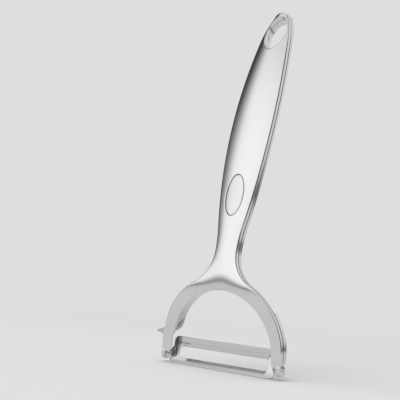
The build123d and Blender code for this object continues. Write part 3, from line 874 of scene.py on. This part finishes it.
def back_front_level(x, z):
    """Y of the back casting's front, behind the seal."""
    return side(z, SEAM_DEPTH + GASKET_THICKNESS)[0]


def back_level(x, z):
    """Y of the back casting's swollen back."""
    return side(z, RIM_DEPTH)[0] + BACK_CROWN * crown_share(x, z)


OUTLINE_BACK = y_outline(BACK_ARM_END, 0)
hole_sizes = (HOLE_HALF_WIDTH + BACK_HOLE_MARGIN, HOLE_HALF_LENGTH + BACK_HOLE_MARGIN)
front_loops, back_loops = (
    [sloped(OUTLINE_BACK, depth), oval(HOLE_HEIGHT, *hole_sizes, level)]
    for depth, level in (
        (SEAM_DEPTH + GASKET_THICKNESS, back_front_level), (RIM_DEPTH, back_level),
    )
)
points, faces = plate(
    front_loops, back_loops, (SEAM_ROUND, BACK_ROUND), (HIDDEN_SPACING, BACK_SPACING),
    thin=thin_top,
)
back_shell = pressed(
    "back_shell_cast", points, faces,
    back_front_level, lambda x, z: side(z, RIM_DEPTH)[0], -BACK_CROWN,
    lambda x, z, face: crown_share(x, z) if face == BACK else 0.0, lambda x, z: -1.0,
)
joined_with(back_shell, room_tool(), "DIFFERENCE")
settle(back_shell, weld=BACK_WELD)

# %% [markdown]
# ### Blade
#
# A blade like this is stamped from strip: a blank with rounded corners and one long
# slot, bent a little about its length, ground at the slot's edges, with a tab turned
# forward at each end. The blank is made flat, and a Geometry Nodes tree bends and
# tilts it, as the press brake would.

# %% Blade
SHEET = 0.6                   # mm thick
BLADE_HALF_LENGTH, BLADE_TOP, BLADE_BOTTOM, BLADE_BOW = 28.65, 7.75, -5.2, 1.4
BLADE_MIDDLE = (BLADE_TOP + BLADE_BOTTOM) / 2
BLADE_HALF_HEIGHT = (BLADE_TOP - BLADE_BOTTOM) / 2
BEND_RADIUS = (BLADE_HALF_HEIGHT**2 + BLADE_BOW**2) / (2 * BLADE_BOW)
BLADE_TILT = radians(17.5)
SLOT_HALF_LENGTH, SLOT_TOP, SLOT_BOTTOM = 24.7, 3.4, -1.9
GRIND_WIDTH, GRIND_DEPTH, GRIND_LEFT, GRIND_RIGHT = 1.5, 0.35, -19.5, 24.0
GRIND_RUNOUT, GRIND_MARKS = 0.2, 90
STRIP_CORNER, SLOT_CORNER, EDGE_ROUND = 2.4, 1.9, 0.18
STRIP_STEP, GROUND_SPACING, BEHIND_SPACING = 0.4, 0.6, 0.9
TAB_LOW, TAB_HIGH, TAB_NOSE, TAB_BORE, TAB_ROUND = -2.68, 3.9, 1.3, 0.95, 0.08
NOSE_FROM, NOSE_TO = radians(100.8), radians(259.2)
TAB_SPACING, BORE_STEP = 1.0, 0.2
STEEL = bpy.data.materials.new("stainless_strip_ground")


def grind(x, z):
    """How deep the front is ground away at a place on the strip."""
    gap = z - SLOT_TOP if z > 0 else SLOT_BOTTOM - z
    share = 1 - min(1.0, max(0.0, gap) / GRIND_WIDTH)
    along = min((x - GRIND_LEFT) / GRIND_RUNOUT, (GRIND_RIGHT - x) / GRIND_RUNOUT, 1.0)
    return GRIND_DEPTH * share * max(0.0, along)


def bend_tree():
    """Bends a flat strip about its length and tilts it about the pivot."""
    start = {
        "Radius": BEND_RADIUS, "Middle": BLADE_MIDDLE, "Bow": BLADE_BOW, "Tilt": -BLADE_TILT,
    }
    tree, sizes = geometry_tree("bend", start)
    place = add(tree, "GeometryNodeInputPosition").outputs[0]
    flat = add(tree, "ShaderNodeSeparateXYZ", {0: place}).outputs

    def sum_of(kind, *values):
        return add(tree, "ShaderNodeMath", dict(enumerate(values)), operation=kind).outputs[0]

    rise = sum_of("SUBTRACT", flat[2], sizes["Middle"])
    sine = sum_of("DIVIDE", rise, sizes["Radius"])
    cosine = sum_of("SQRT", sum_of("SUBTRACT", 1.0, sum_of("MULTIPLY", sine, sine)))
    reach = sum_of("ADD", flat[1], sizes["Radius"])
    centre = sum_of("SUBTRACT", sizes["Bow"], sizes["Radius"])
    y = sum_of("MULTIPLY_ADD", reach, cosine, centre)
    z = sum_of("MULTIPLY_ADD", flat[1], sine, flat[2])
    bent = add(tree, "ShaderNodeCombineXYZ", {0: flat[0], 1: y, 2: z}).outputs[0]
    moved = add(tree, "GeometryNodeSetPosition",
                {"Geometry": sizes["Geometry"], "Position": bent})
    turn = add(tree, "ShaderNodeCombineXYZ", {0: sizes["Tilt"]}).outputs[0]
    tilted = add(tree, "GeometryNodeTransform", {
        "Geometry": moved.outputs[0], "Rotation": turn, "Translation": (0, PIVOT_DEPTH, 0),
    })
    close_tree(tree, tilted.outputs[0], STEEL)
    return tree


def box_loop(half_length, low, high, corner):
    """A rounded oblong, even about the middle of the blade."""
    return filleted([
        (half_length, low, corner), (half_length, high, corner),
        (-half_length, high, corner), (-half_length, low, corner),
    ], STRIP_STEP)


def flat_strip():
    """The flat blank: X along the blade, Y its thickness from the middle, Z its width."""
    outer = box_loop(BLADE_HALF_LENGTH, BLADE_BOTTOM, BLADE_TOP, STRIP_CORNER)
    slot = hole_of(box_loop(SLOT_HALF_LENGTH, SLOT_BOTTOM, SLOT_TOP, SLOT_CORNER))
    ground = GRIND_RIGHT - GRIND_LEFT
    marks = [
        [(GRIND_LEFT + step * ground / GRIND_MARKS, z) for step in range(GRIND_MARKS + 1)]
        for z in (SLOT_TOP + GRIND_WIDTH, SLOT_BOTTOM - GRIND_WIDTH)
    ]
    points, faces = plate(
        [outer, slot], [outer, slot], (EDGE_ROUND, EDGE_ROUND),
        (GROUND_SPACING, BEHIND_SPACING), marks,
    )

    def place(x, z, face, drop):
        half = SHEET / 2
        return x, drop - half + grind(x, z) if face == FRONT else half - drop, z

    return plate_mesh("blade_strip_ground", points, faces, place)


def tab(hand):
    """One end tab, with the hole for the rivet, tilted like the strip."""
    reach = BEND_RADIUS + SHEET / 2
    centre = BLADE_BOW - BEND_RADIUS
    bowed = [
        (centre + sqrt(reach**2 - (z - BLADE_MIDDLE) ** 2), z, 0)
        for z in np.linspace(TAB_LOW, TAB_HIGH, 9)
    ]
    nose = [
        (TAB_NOSE * cos(turn), TAB_NOSE * sin(turn), 0)
        for turn in np.linspace(NOSE_FROM, NOSE_TO, 13)
    ]
    loop = filleted(bowed + nose)
    signs = ((1, -1), (1, 1), (-1, 1), (-1, -1))
    square_hole = [(TAB_BORE * one, TAB_BORE * two, TAB_BORE) for one, two in signs]
    bore = hole_of(filleted(square_hole, BORE_STEP))
    points, faces = plate(
        [loop, bore], [loop, bore], (TAB_ROUND, TAB_ROUND), (TAB_SPACING, TAB_SPACING)
    )
    sine, cosine = sin(BLADE_TILT), cos(BLADE_TILT)

    def place(y, z, face, drop):
        x = BLADE_HALF_LENGTH - drop if face == BACK else BLADE_HALF_LENGTH - SHEET + drop
        return hand * x, PIVOT_DEPTH + y * cosine + z * sine, z * cosine - y * sine

    return plate_mesh("blade_tab", points, faces, place)


def merged(pieces, name):
    """One object that holds several pieces' meshes."""
    work = bmesh.new()
    for piece in pieces:
        work.from_mesh(piece.data)
    mesh = bpy.data.meshes.new(name)
    work.to_mesh(mesh)
    work.free()
    for piece in pieces:
        bpy.data.objects.remove(piece)
    whole = bpy.data.objects.new(name, mesh)
    bpy.context.scene.collection.objects.link(whole)
    return whole


blade = run_tree(flat_strip(), bend_tree(), {"Tilt": -BLADE_TILT})
blade = settle(merged([blade, tab(-1), tab(1)], "blade_ground_strip"))

# %% [markdown]
# ### Rivets and washers
#
# The rivets and washers repeat on both sides, so each is turned once, as on a lathe,
# and a Geometry Nodes tree sets it at both ends of the pivot, the left one turned round.

# %% Rivets and washers
BRIGHT = bpy.data.materials.new("stainless_steel_cold_headed")
LATHE_STEPS, HEAD_STEPS = 40, 8
SHANK_RADIUS, SHANK_TIP, SHANK_TAPER, SHANK_STICKOUT = 0.9, 0.63, 0.16, 0.4
HEAD_RADIUS, HEAD_FOOT, HEAD_HEIGHT, HEAD_FLAT = 1.45, 1.3, 0.85, 0.12
WASHER_BORE, WASHER_RADIUS, WASHER_LENGTH, WASHER_CHAMFER = 0.93, 1.3, 1.85, 0.1
WASHER_GAP = 0.1              # mm between tab and washer


def turned(name, profile, closed=False):
    """A piece turned about X from points of X and radius."""
    points, faces = [], []
    for x, radius in profile:
        for step in range(LATHE_STEPS):
            turn = 2 * pi * step / LATHE_STEPS
            points.append((x, radius * cos(turn), radius * sin(turn)))
    rows = len(profile) if closed else len(profile) - 1
    for row in range(rows):
        one, two = row * LATHE_STEPS, ((row + 1) % len(profile)) * LATHE_STEPS
        for step in range(LATHE_STEPS):
            after = (step + 1) % LATHE_STEPS
            faces.append((one + step, one + after, two + after, two + step))
    if not closed:
        faces.append(tuple(range(LATHE_STEPS)))
        start = (len(profile) - 1) * LATHE_STEPS
        faces.append(tuple(range(start + LATHE_STEPS - 1, start - 1, -1)))
    return mesh_piece(name, points, faces)


def pair_tree():
    """Sets a right-hand piece at both ends of the pivot."""
    tree, sizes = geometry_tree("pair", {"Half span": 30.0, "Depth": PIVOT_DEPTH})
    back = add(tree, "ShaderNodeMath", {0: sizes["Half span"], 1: -1.0}, operation="MULTIPLY")
    span = add(tree, "ShaderNodeMath", {0: sizes["Half span"], 1: 2.0}, operation="MULTIPLY")
    start = add(tree, "ShaderNodeCombineXYZ", {0: back.outputs[0], 1: sizes["Depth"]})
    offset = add(tree, "ShaderNodeCombineXYZ", {0: span.outputs[0]})
    ends = add(tree, "GeometryNodeMeshLine", {
        "Count": 2, "Start Location": start.outputs[0], "Offset": offset.outputs[0],
    })
    index = add(tree, "GeometryNodeInputIndex").outputs[0]
    half_turn = add(tree, "ShaderNodeMath", {0: index, 1: -pi, 2: pi}, operation="MULTIPLY_ADD")
    rotation = add(tree, "ShaderNodeCombineXYZ", {2: half_turn.outputs[0]}).outputs[0]
    placed = add(tree, "GeometryNodeInstanceOnPoints", {
        "Points": ends.outputs[0], "Instance": sizes["Geometry"], "Rotation": rotation,
    })
    close_tree(tree, placed.outputs[0], BRIGHT)
    return tree


PAIR = pair_tree()
inner_face = BLADE_HALF_LENGTH - SHEET - OUTER_RADIUS
shank = [
    (inner_face - SHANK_STICKOUT, SHANK_TIP), (inner_face - SHANK_TAPER, SHANK_RADIUS),
    (0, SHANK_RADIUS), (0, HEAD_FOOT),
]
quarter = [pi / 2 * step / HEAD_STEPS for step in range(HEAD_STEPS)]
head = [(HEAD_HEIGHT * sin(turn), HEAD_RADIUS * cos(turn)) for turn in quarter]
rivets = turned("pivot_rivets_turned", shank + head + [(HEAD_HEIGHT, HEAD_FLAT)])
settle(run_tree(rivets, PAIR, {"Half span": OUTER_RADIUS}))
near, far = WASHER_CHAMFER, WASHER_LENGTH - WASHER_CHAMFER
bore, edge = WASHER_BORE + WASHER_CHAMFER, WASHER_RADIUS - WASHER_CHAMFER
ring = [
    (near, WASHER_BORE), (0.0, bore), (0.0, edge), (near, WASHER_RADIUS),
    (far, WASHER_RADIUS), (WASHER_LENGTH, edge), (WASHER_LENGTH, bore), (far, WASHER_BORE),
]
washers = turned("pivot_washers_turned", ring, closed=True)
settle(run_tree(washers, PAIR, {"Half span": BLADE_HALF_LENGTH + WASHER_GAP}))

# %% [markdown]
# ### Eye remover and badge
#
# The eye remover is a small steel plate that is clamped between the castings, so only
# its point shows. The badge is a bare oval plate with the crown's own curve, a little
# below it, so that a thin dark gap runs round it.

# %% Eye remover and badge
EYE_THICKNESS, EYE_ROUND, EYE_SPACING, EYE_STEP = 1.0, 0.2, 0.7, 0.12
EYE_CORNERS = [               # x, z and corner radius: the point, then the hidden tang
    (-39.4, 8.8, 0.35), (-32.7, 6.9, 0), (-30.45, 6.9, 0), (-30.45, 12.9, 0),
    (-25.9, 12.9, 0), (-25.9, 18, 0), (-29.167, 18, 0), (-31.95, 11.2, 0), (-32.7, 11.2, 0),
]
BADGE_ROUND, BADGE_BACK_ROUND = 0.45, 0.1
BADGE_SPACING, BADGE_BACK_SPACING = 0.6, 2.0


def eye_remover():
    """The steel insert with its tang inside the arm and its point outside."""
    loop = filleted(EYE_CORNERS, EYE_STEP)
    start = SEAM_DEPTH + GASKET_THICKNESS
    points, faces = plate(
        [loop], [loop], (EYE_ROUND, EYE_ROUND), (EYE_SPACING, EYE_SPACING)
    )

    def place(x, z, face, drop):
        return x, side(z, start)[0] + (drop if face == FRONT else EYE_THICKNESS - drop), z

    return plate_mesh("eye_remover_ground", points, faces, place)


def badge_level(x, z):
    """Y of the badge's face, a little behind the crown."""
    return front_level(x, z) + BADGE_SINK


def badge_plate():
    """The bare oval plate, with the crown's curve in front and flat behind."""
    behind = badge_plane(0)
    # oval() gives the edge of a hole, so turning it round once more gives a plate's.
    front_oval, back_oval = (
        hole_of(oval(BADGE_HEIGHT, BADGE_HALF_WIDTH, BADGE_HALF_LENGTH, level))
        for level in (badge_level, behind)
    )
    points, faces = plate(
        [front_oval], [back_oval], (BADGE_ROUND, BADGE_BACK_ROUND),
        (BADGE_SPACING, BADGE_BACK_SPACING),
    )

    def place(x, z, face, drop):
        return x, badge_level(x, z) + drop if face == FRONT else behind(x, z) - drop, z

    return plate_mesh("badge_plate_bare", points, faces, place)


eye = settle(eye_remover())
badge = settle(badge_plate())

# %% [markdown]
# ## Finishes
#
# Colours are written as sRGB hex values, and one function turns them to linear. The
# castings are zinc alloy with polished chrome plating: a mirror with faint waves left
# by the polishing wheel and fine hairlines from washing up. All patterns read Object
# coordinates, so their scales are real millimetres.

# %% Colour and surface helpers
def colour(text):
    """Linear colour from an sRGB hex value."""
    values = [int(text[i:i + 2], 16) / 255 for i in (1, 3, 5)]
    linear = [v / 12.92 if v <= 0.04045 else ((v + 0.055) / 1.055) ** 2.4 for v in values]
    return linear + [1.0]


def surface(material, base, metallic, roughness):
    """Start a material's node tree; returns the tree, its shader and coordinates."""
    material.use_nodes = True
    tree = material.node_tree
    shader = next(node for node in tree.nodes if node.type == "BSDF_PRINCIPLED")
    shader.inputs["Base Color"].default_value = colour(base)
    shader.inputs["Metallic"].default_value = metallic
    shader.inputs["Roughness"].default_value = roughness
    place = add(tree, "ShaderNodeTexCoord").outputs["Object"]
    return tree, shader, place


def grain(tree, place, size, stretch=(1, 1, 1), detail=3.0, turn=(0, 0, 0)):
    """Noise with features of a real size in millimetres, drawn out along an axis."""
    scale = [1 / (MM * size * s) for s in stretch]
    mapped = add(tree, "ShaderNodeMapping", {"Vector": place, "Scale": scale, "Rotation": turn})
    return add(tree, "ShaderNodeTexNoise",
               {"Vector": mapped.outputs[0], "Scale": 1.0, "Detail": detail}).outputs[0]


def roughened(tree, shader, pattern, low, high):
    """Let a pattern vary the roughness between two values."""
    rough = add(tree, "ShaderNodeMapRange", {"Value": pattern, "To Min": low, "To Max": high})
    tree.links.new(rough.outputs[0], shader.inputs["Roughness"])


def tinted(tree, shader, pattern, dark, light):
    """Let a pattern vary the colour between two sRGB hex values."""
    tint = add(tree, "ShaderNodeMix", {0: pattern, 6: colour(dark), 7: colour(light)},
               data_type="RGBA")
    tree.links.new(tint.outputs[2], shader.inputs["Base Color"])


def relief(tree, shader, height, depth):
    """Bump of a real depth in millimetres."""
    bump = add(tree, "ShaderNodeBump", {"Height": height, "Distance": depth * MM, "Strength": 1.0})
    tree.links.new(bump.outputs[0], shader.inputs["Normal"])


print("mid grey #808080 is", round(colour("#808080")[0], 3), "in linear light")

# %% [markdown]
# ### Polished chrome
#
# Zinc alloy is cast, polished and chrome plated. The result is nearly neutral in
# colour and a mirror. Two noises stand for what the eye still finds on it: slow waves
# that the buffing wheel leaves along the handle, and hairlines from use, drawn wider
# than real ones so that they show.

# %% Chrome-plated casting
WAVE_SIZE, HAIRLINE_SIZE = 9.0, 0.35     # mm
tree, shader, place = surface(CAST, "#D9DADB", 1.0, 0.1)
waves = grain(tree, place, WAVE_SIZE, (1, 1, 3))
hairlines = grain(tree, place, HAIRLINE_SIZE, (1, 1, 14), 4.0, (0.12, 0.2, 0))
roughened(tree, shader, hairlines, 0.07, 0.15)
tinted(tree, shader, waves, "#D3D4D6", "#DFDFDF")
relief(tree, shader, waves, 0.006)
print("waves", WAVE_SIZE, "mm long, hairlines", HAIRLINE_SIZE, "mm wide")

# %% [markdown]
# ### Ground blade steel
#
# The blade is stainless strip, ground along its length before it is stamped. Its lines
# run along X, so the noise is drawn out sixty times in that direction. Real grinding
# lines are finer than a tenth of a millimetre, and these are twice as coarse.

# %% Ground blade steel
GRIND_LINE = 0.22             # mm
tree, shader, place = surface(STEEL, "#C9CBCD", 1.0, 0.2)
lines = grain(tree, place, GRIND_LINE, (60, 1, 1), 4.0)
roughened(tree, shader, lines, 0.05, 0.17)
tinted(tree, shader, lines, "#BDC0C3", "#DCDDDE")
relief(tree, shader, lines, 0.004)
print("grinding lines", GRIND_LINE, "mm wide")

# %% [markdown]
# ### Rivets, washers and plain steel
#
# A cold-headed rivet and a turned washer are bright, with faint rings about their own
# axis, which a wave texture centred on the pivot gives. The eye remover and the pins
# are plain ground steel, a little duller, with lines across the plate.

# %% Cold-headed rivets, turned washers and plain steel
RINGS_PER_METRE, PLATE_LINE = 900.0, 0.25
tree, shader, place = surface(BRIGHT, "#D0D1D2", 1.0, 0.15)
centred = add(tree, "ShaderNodeMapping", {"Vector": place, "Location": [-v for v in PIVOT]})
rings = add(
    tree, "ShaderNodeTexWave",
    {"Vector": centred.outputs[0], "Scale": RINGS_PER_METRE, "Distortion": 1.5},
    wave_type="RINGS", rings_direction="X",
).outputs["Fac"]
roughened(tree, shader, rings, 0.1, 0.22)
relief(tree, shader, rings, 0.003)

PLAIN = bpy.data.materials.new("stainless_plate_ground")
tree, shader, place = surface(PLAIN, "#C6C8CA", 1.0, 0.25)
lines = grain(tree, place, PLATE_LINE, (1, 1, 30), 3.0, (0, 0.6, 0))
roughened(tree, shader, lines, 0.14, 0.32)
relief(tree, shader, lines, 0.003)
print("turning rings for", BRIGHT.name, "and lines", PLATE_LINE, "mm wide for", PLAIN.name)

# %% [markdown]
# ### Satin badge plate
#
# Sheet is brushed across its width, nickel plated and stamped out. It is softer than
# the casting round it, so the oval reads as a plate of its own though it is bare.

# %% Satin badge plate
BRUSH_LINE = 0.2              # mm
SATIN = bpy.data.materials.new("nickel_plate_satin_brushed")
tree, shader, place = surface(SATIN, "#D6D7D8", 1.0, 0.22)
lines = grain(tree, place, BRUSH_LINE, (40, 1, 1), 3.0)
roughened(tree, shader, lines, 0.16, 0.3)
relief(tree, shader, lines, 0.003)
print("brush lines", BRUSH_LINE, "mm wide")

# %% [markdown]
# ### Seal and adhesive pad
#
# The seal between the castings is nearly black all over, so the seam shows as a dark
# line; a fine matt grain varies its roughness. The badge sits on a grey acrylic foam
# tape whose cells are just visible.

# %% Black seal and adhesive
MOULD_GRAIN, FOAM_CELL = 0.3, 0.4        # mm
SEAL = bpy.data.materials.new("seal_nearly_black")
tree, shader, place = surface(SEAL, "#0C0C0D", 0.0, 0.6)
matt = grain(tree, place, MOULD_GRAIN)
roughened(tree, shader, matt, 0.5, 0.75)
relief(tree, shader, matt, 0.02)

PAD = bpy.data.materials.new("acrylic_foam_tape")
tree, shader, place = surface(PAD, "#8E8E8A", 0.0, 0.8)
cells = grain(tree, place, FOAM_CELL)
tinted(tree, shader, cells, "#7F7F7B", "#9A9A96")
relief(tree, shader, cells, 0.03)
print("rubber grain", MOULD_GRAIN, "mm, foam cells", FOAM_CELL, "mm")

# %% [markdown]
# ## Put every piece on its body
#
# Each new piece names the nodes that it stands for and the body it rides on. The seal,
# the pad and the joining pins keep their own meshes and get these finishes.

# %% Dress the pieces
dress(front_shell, CAST, "polished_casting", "handle", "front_shell")
dress(back_shell, CAST, "polished_casting", "handle", "back_shell")
dress(blade, STEEL, "blade_steel", "blade", "blade")
dress(rivets, BRIGHT, "bright_steel", "handle", "pivot_rivet_left", "pivot_rivet_right")
dress(washers, BRIGHT, "bright_steel", "handle", "pivot_washer_left", "pivot_washer_right")
dress(eye, PLAIN, "plain_steel", "handle", "eye_remover")
dress(badge, SATIN, "satin_plate", "handle", "badge_plate")
for name, material in (("seam_gasket", SEAL), ("badge_adhesive", PAD), ("joining_pins", PLAIN)):
    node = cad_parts[name]
    for holder in node.material_slots:
        holder.material = material
    print(name, "keeps its mesh with", material.name)

# %% [markdown]
# ## Stage, light and camera
#
# Chrome has no colour of its own: it shows the room. Product photographers put such a
# piece in a light tent whose walls go smoothly from bright to dark, so that a polished
# swell shows soft bands with a dark edge instead of lamps and furniture. The tent here
# is a round wall that only reflections and soft light see. The camera looks past it at
# a pale background. The floor is matt paper that keeps the peeler's shadow, and fades
# into the background's colour farther away, as a paper sweep does.

# %% Floor
BACKGROUND, FLOOR_COLOUR = "#DEDEDE", "#D9D9D9"
FLOOR_RADIUS, FADE_FROM, FADE_TO = 1.9, 0.12, 0.5      # m
MOTTLE_SIZE, RIM_STEPS = 60.0, 64


def staged(name, points, faces, material):
    """A stage object from points in metres."""
    mesh = bpy.data.meshes.new(name)
    mesh.from_pydata(points, [], faces)
    mesh.materials.append(material)
    mesh.polygons.foreach_set("use_smooth", [True] * len(faces))
    item = bpy.data.objects.new(name, mesh)
    bpy.context.scene.collection.objects.link(item)
    return item


def rim_points(radius, height):
    """Points on a level circle in metres."""
    turns = [2 * pi * step / RIM_STEPS for step in range(RIM_STEPS)]
    return [(radius * cos(turn), radius * sin(turn), height) for turn in turns]


paper = bpy.data.materials.new("paper_background_matt")
tree, shader, place = surface(paper, FLOOR_COLOUR, 0.0, 0.9)
roughened(tree, shader, grain(tree, place, MOTTLE_SIZE), 0.85, 0.95)
distance = add(tree, "ShaderNodeVectorMath", {0: place}, operation="LENGTH").outputs["Value"]
fade = add(tree, "ShaderNodeMapRange",
           {"Value": distance, "From Min": FADE_FROM, "From Max": FADE_TO},
           interpolation_type="SMOOTHSTEP").outputs[0]
path = add(tree, "ShaderNodeLightPath").outputs
seen = path["Is Camera Ray"]
for kind in ("Is Glossy Ray", "Is Transmission Ray"):
    seen = add(tree, "ShaderNodeMath", {0: seen, 1: path[kind]}, operation="MAXIMUM").outputs[0]
share = add(tree, "ShaderNodeMath", {0: seen, 1: fade}, operation="MULTIPLY").outputs[0]
distant = add(tree, "ShaderNodeEmission", {"Color": colour(BACKGROUND), "Strength": 1.0})
both = add(tree, "ShaderNodeMixShader", {0: share, 1: shader.outputs[0], 2: distant.outputs[0]})
output = next(node for node in tree.nodes if node.type == "OUTPUT_MATERIAL")
tree.links.new(both.outputs[0], output.inputs["Surface"])
staged("floor", rim_points(FLOOR_RADIUS, 0), [tuple(range(RIM_STEPS))], paper)
print("floor", FLOOR_RADIUS, "m, fading from", FADE_FROM, "to", FADE_TO, "m")

# %% [markdown]
# ### Light tent
#
# A real tent is white cloth lit from outside, with dark boards where a dark line is
# wanted. Here one half dome glows by its direction: two smooth ramps say how bright it
# is by the compass and by the height. Reflections and soft light see it, the camera
# doesn't.

# %% Light tent
# Grey by compass direction, as share of a full turn from the back over the left to the
# front and the right, and grey by height, as share of the dome's radius.
TENT_TURN = [
    (0.0, 0.6), (0.1, 0.35), (0.22, 0.02), (0.27, 0.03), (0.31, 0.4), (0.35, 0.95),
    (0.42, 1.0), (0.54, 1.0), (0.59, 0.5), (0.64, 0.03), (0.78, 0.03), (0.86, 0.6),
    (0.93, 0.7), (1.0, 0.6),
]
TENT_RISE = [
    (0.0, 0.2), (0.05, 0.3), (0.1, 0.75), (0.16, 1.0), (0.64, 1.0), (0.8, 0.85), (1.0, 0.5),
]
TENT_RADIUS, TENT_STRENGTH, TENT_ROWS = 2.0, 1.28, 24


def ramp(tree, value, stops):
    """Smooth grey ramp through stops of position and grey."""
    node = add(tree, "ShaderNodeValToRGB", {0: value})
    node.color_ramp.interpolation = "B_SPLINE"
    marks = node.color_ramp.elements
    while len(marks) < len(stops):
        marks.new(0.5)
    for mark, (position, _) in zip(marks, stops):
        mark.position = position
    for mark, (_, grey) in zip(marks, stops):
        mark.color = (grey, grey, grey, 1)
    return node.outputs[0]


cloth = bpy.data.materials.new("tent_cloth_lit")
cloth.use_nodes = True
tree = cloth.node_tree
tree.nodes.clear()
place = add(tree, "ShaderNodeTexCoord").outputs["Object"]
aim = add(tree, "ShaderNodeVectorMath", {0: place}, operation="NORMALIZE").outputs[0]
aim = add(tree, "ShaderNodeSeparateXYZ", {0: aim}).outputs
backward = add(tree, "ShaderNodeMath", {0: aim[1], 1: -1.0}, operation="MULTIPLY").outputs[0]
turn = add(tree, "ShaderNodeMath", {0: aim[0], 1: backward}, operation="ARCTAN2").outputs[0]
share = add(tree, "ShaderNodeMath", {0: turn, 1: 0.5 / pi, 2: 0.5}, operation="MULTIPLY_ADD")
around = ramp(tree, share.outputs[0], TENT_TURN)
upward = ramp(tree, aim[2], TENT_RISE)
glow = add(tree, "ShaderNodeMath", {0: around, 1: upward}, operation="MULTIPLY").outputs[0]
strength = add(tree, "ShaderNodeMath", {0: glow, 1: TENT_STRENGTH}, operation="MULTIPLY")
lit = add(tree, "ShaderNodeEmission", {"Strength": strength.outputs[0]})
tree.links.new(lit.outputs[0], add(tree, "ShaderNodeOutputMaterial").inputs["Surface"])

tent_points, tent_faces = [], []
for row in range(TENT_ROWS):
    rise = pi / 2 * row / TENT_ROWS
    tent_points += rim_points(TENT_RADIUS * cos(rise), TENT_RADIUS * sin(rise))
for row in range(TENT_ROWS - 1):
    for step in range(RIM_STEPS):
        one, two = row * RIM_STEPS + step, row * RIM_STEPS + (step + 1) % RIM_STEPS
        tent_faces.append((one, two, two + RIM_STEPS, one + RIM_STEPS))
tent_faces.append(tuple(range((TENT_ROWS - 1) * RIM_STEPS, TENT_ROWS * RIM_STEPS)))
tent = staged("light_tent", tent_points, tent_faces, cloth)
tent.visible_camera = False
print("tent", TENT_RADIUS, "m,", len(tent_faces), "faces")

# %% [markdown]
# ### Background and lamp
#
# The world gives the camera a plain pale background, and the tent keeps its light off
# the peeler. One large soft box above lights the floor and gives the soft shadow. It
# stays out of reflections, where its hard edges would show.

# %% World
world = bpy.data.worlds.new("pale_background")
bpy.context.scene.world = world
world.use_nodes = True
backdrop = next(node for node in world.node_tree.nodes if node.type == "BACKGROUND")
backdrop.inputs["Color"].default_value = colour(BACKGROUND)
backdrop.inputs["Strength"].default_value = 1.0
print("background", BACKGROUND)


# %% Lamps
BOX_SPOT, BOX_TARGET, BOX_SIZE, BOX_POWER = (-0.1, -0.1, 1.3), (0, 0, 0.05), 1.0, 12   # m, W


def soft_box(name, place, target, size, power):
    """A large square lamp turned to a target; places in metres."""
    light = bpy.data.lights.new(name, "AREA")
    light.shape, light.size, light.size_y, light.energy = "RECTANGLE", size, size, power
    lamp = bpy.data.objects.new(name, light)
    bpy.context.scene.collection.objects.link(lamp)
    lamp.location = place
    lamp.rotation_euler = (Vector(target) - Vector(place)).to_track_quat("-Z", "Y").to_euler()
    lamp.visible_glossy = False
    return lamp


box = soft_box("top_box", BOX_SPOT, BOX_TARGET, BOX_SIZE, BOX_POWER)
print(box.name, BOX_SIZE, "m wide,", BOX_POWER, "W")

# %% [markdown]
# ### Camera
#
# The peeler is seen from its right and from low down, almost level. It leans back in
# that room, while here it stands in its own frame, so the camera is leaned instead.
# Its place and lens were solved from the ends of the arms, the pivots and the blade.

# %% Camera
LENS, SENSOR, CAMERA_SPOT = 68.44, 36.0, (0.20176, -0.30338, 0.04056)        # mm, mm, m
CAMERA_TURN, CAMERA_PITCH, PHOTO_LEAN = 0.64577, 0.0103677, 0.140732         # radians
camera_data = bpy.data.cameras.new("camera")
camera_data.lens, camera_data.sensor_width = LENS, SENSOR
camera = bpy.data.objects.new("camera", camera_data)
bpy.context.scene.collection.objects.link(camera)
bpy.context.scene.camera = camera


def leaned(vector):
    """A direction of the photo's room, seen from the peeler, which leans back in it."""
    x, y, z = vector
    return Vector((
        x,
        y * cos(PHOTO_LEAN) - z * sin(PHOTO_LEAN),
        y * sin(PHOTO_LEAN) + z * cos(PHOTO_LEAN),
    ))


ahead = Vector((
    -sin(CAMERA_TURN) * cos(CAMERA_PITCH),
    cos(CAMERA_TURN) * cos(CAMERA_PITCH),
    -sin(CAMERA_PITCH),
))
right = Vector((cos(CAMERA_TURN), sin(CAMERA_TURN), 0))
up = right.cross(ahead)
axes = [leaned(right), leaned(up), -leaned(ahead)]
camera.matrix_world = Matrix(
    [[axes[0][i], axes[1][i], axes[2][i], CAMERA_SPOT[i]] for i in range(3)] + [[0, 0, 0, 1]]
)
bpy.context.scene.view_settings.view_transform = "Standard"
print("camera at", CAMERA_SPOT)
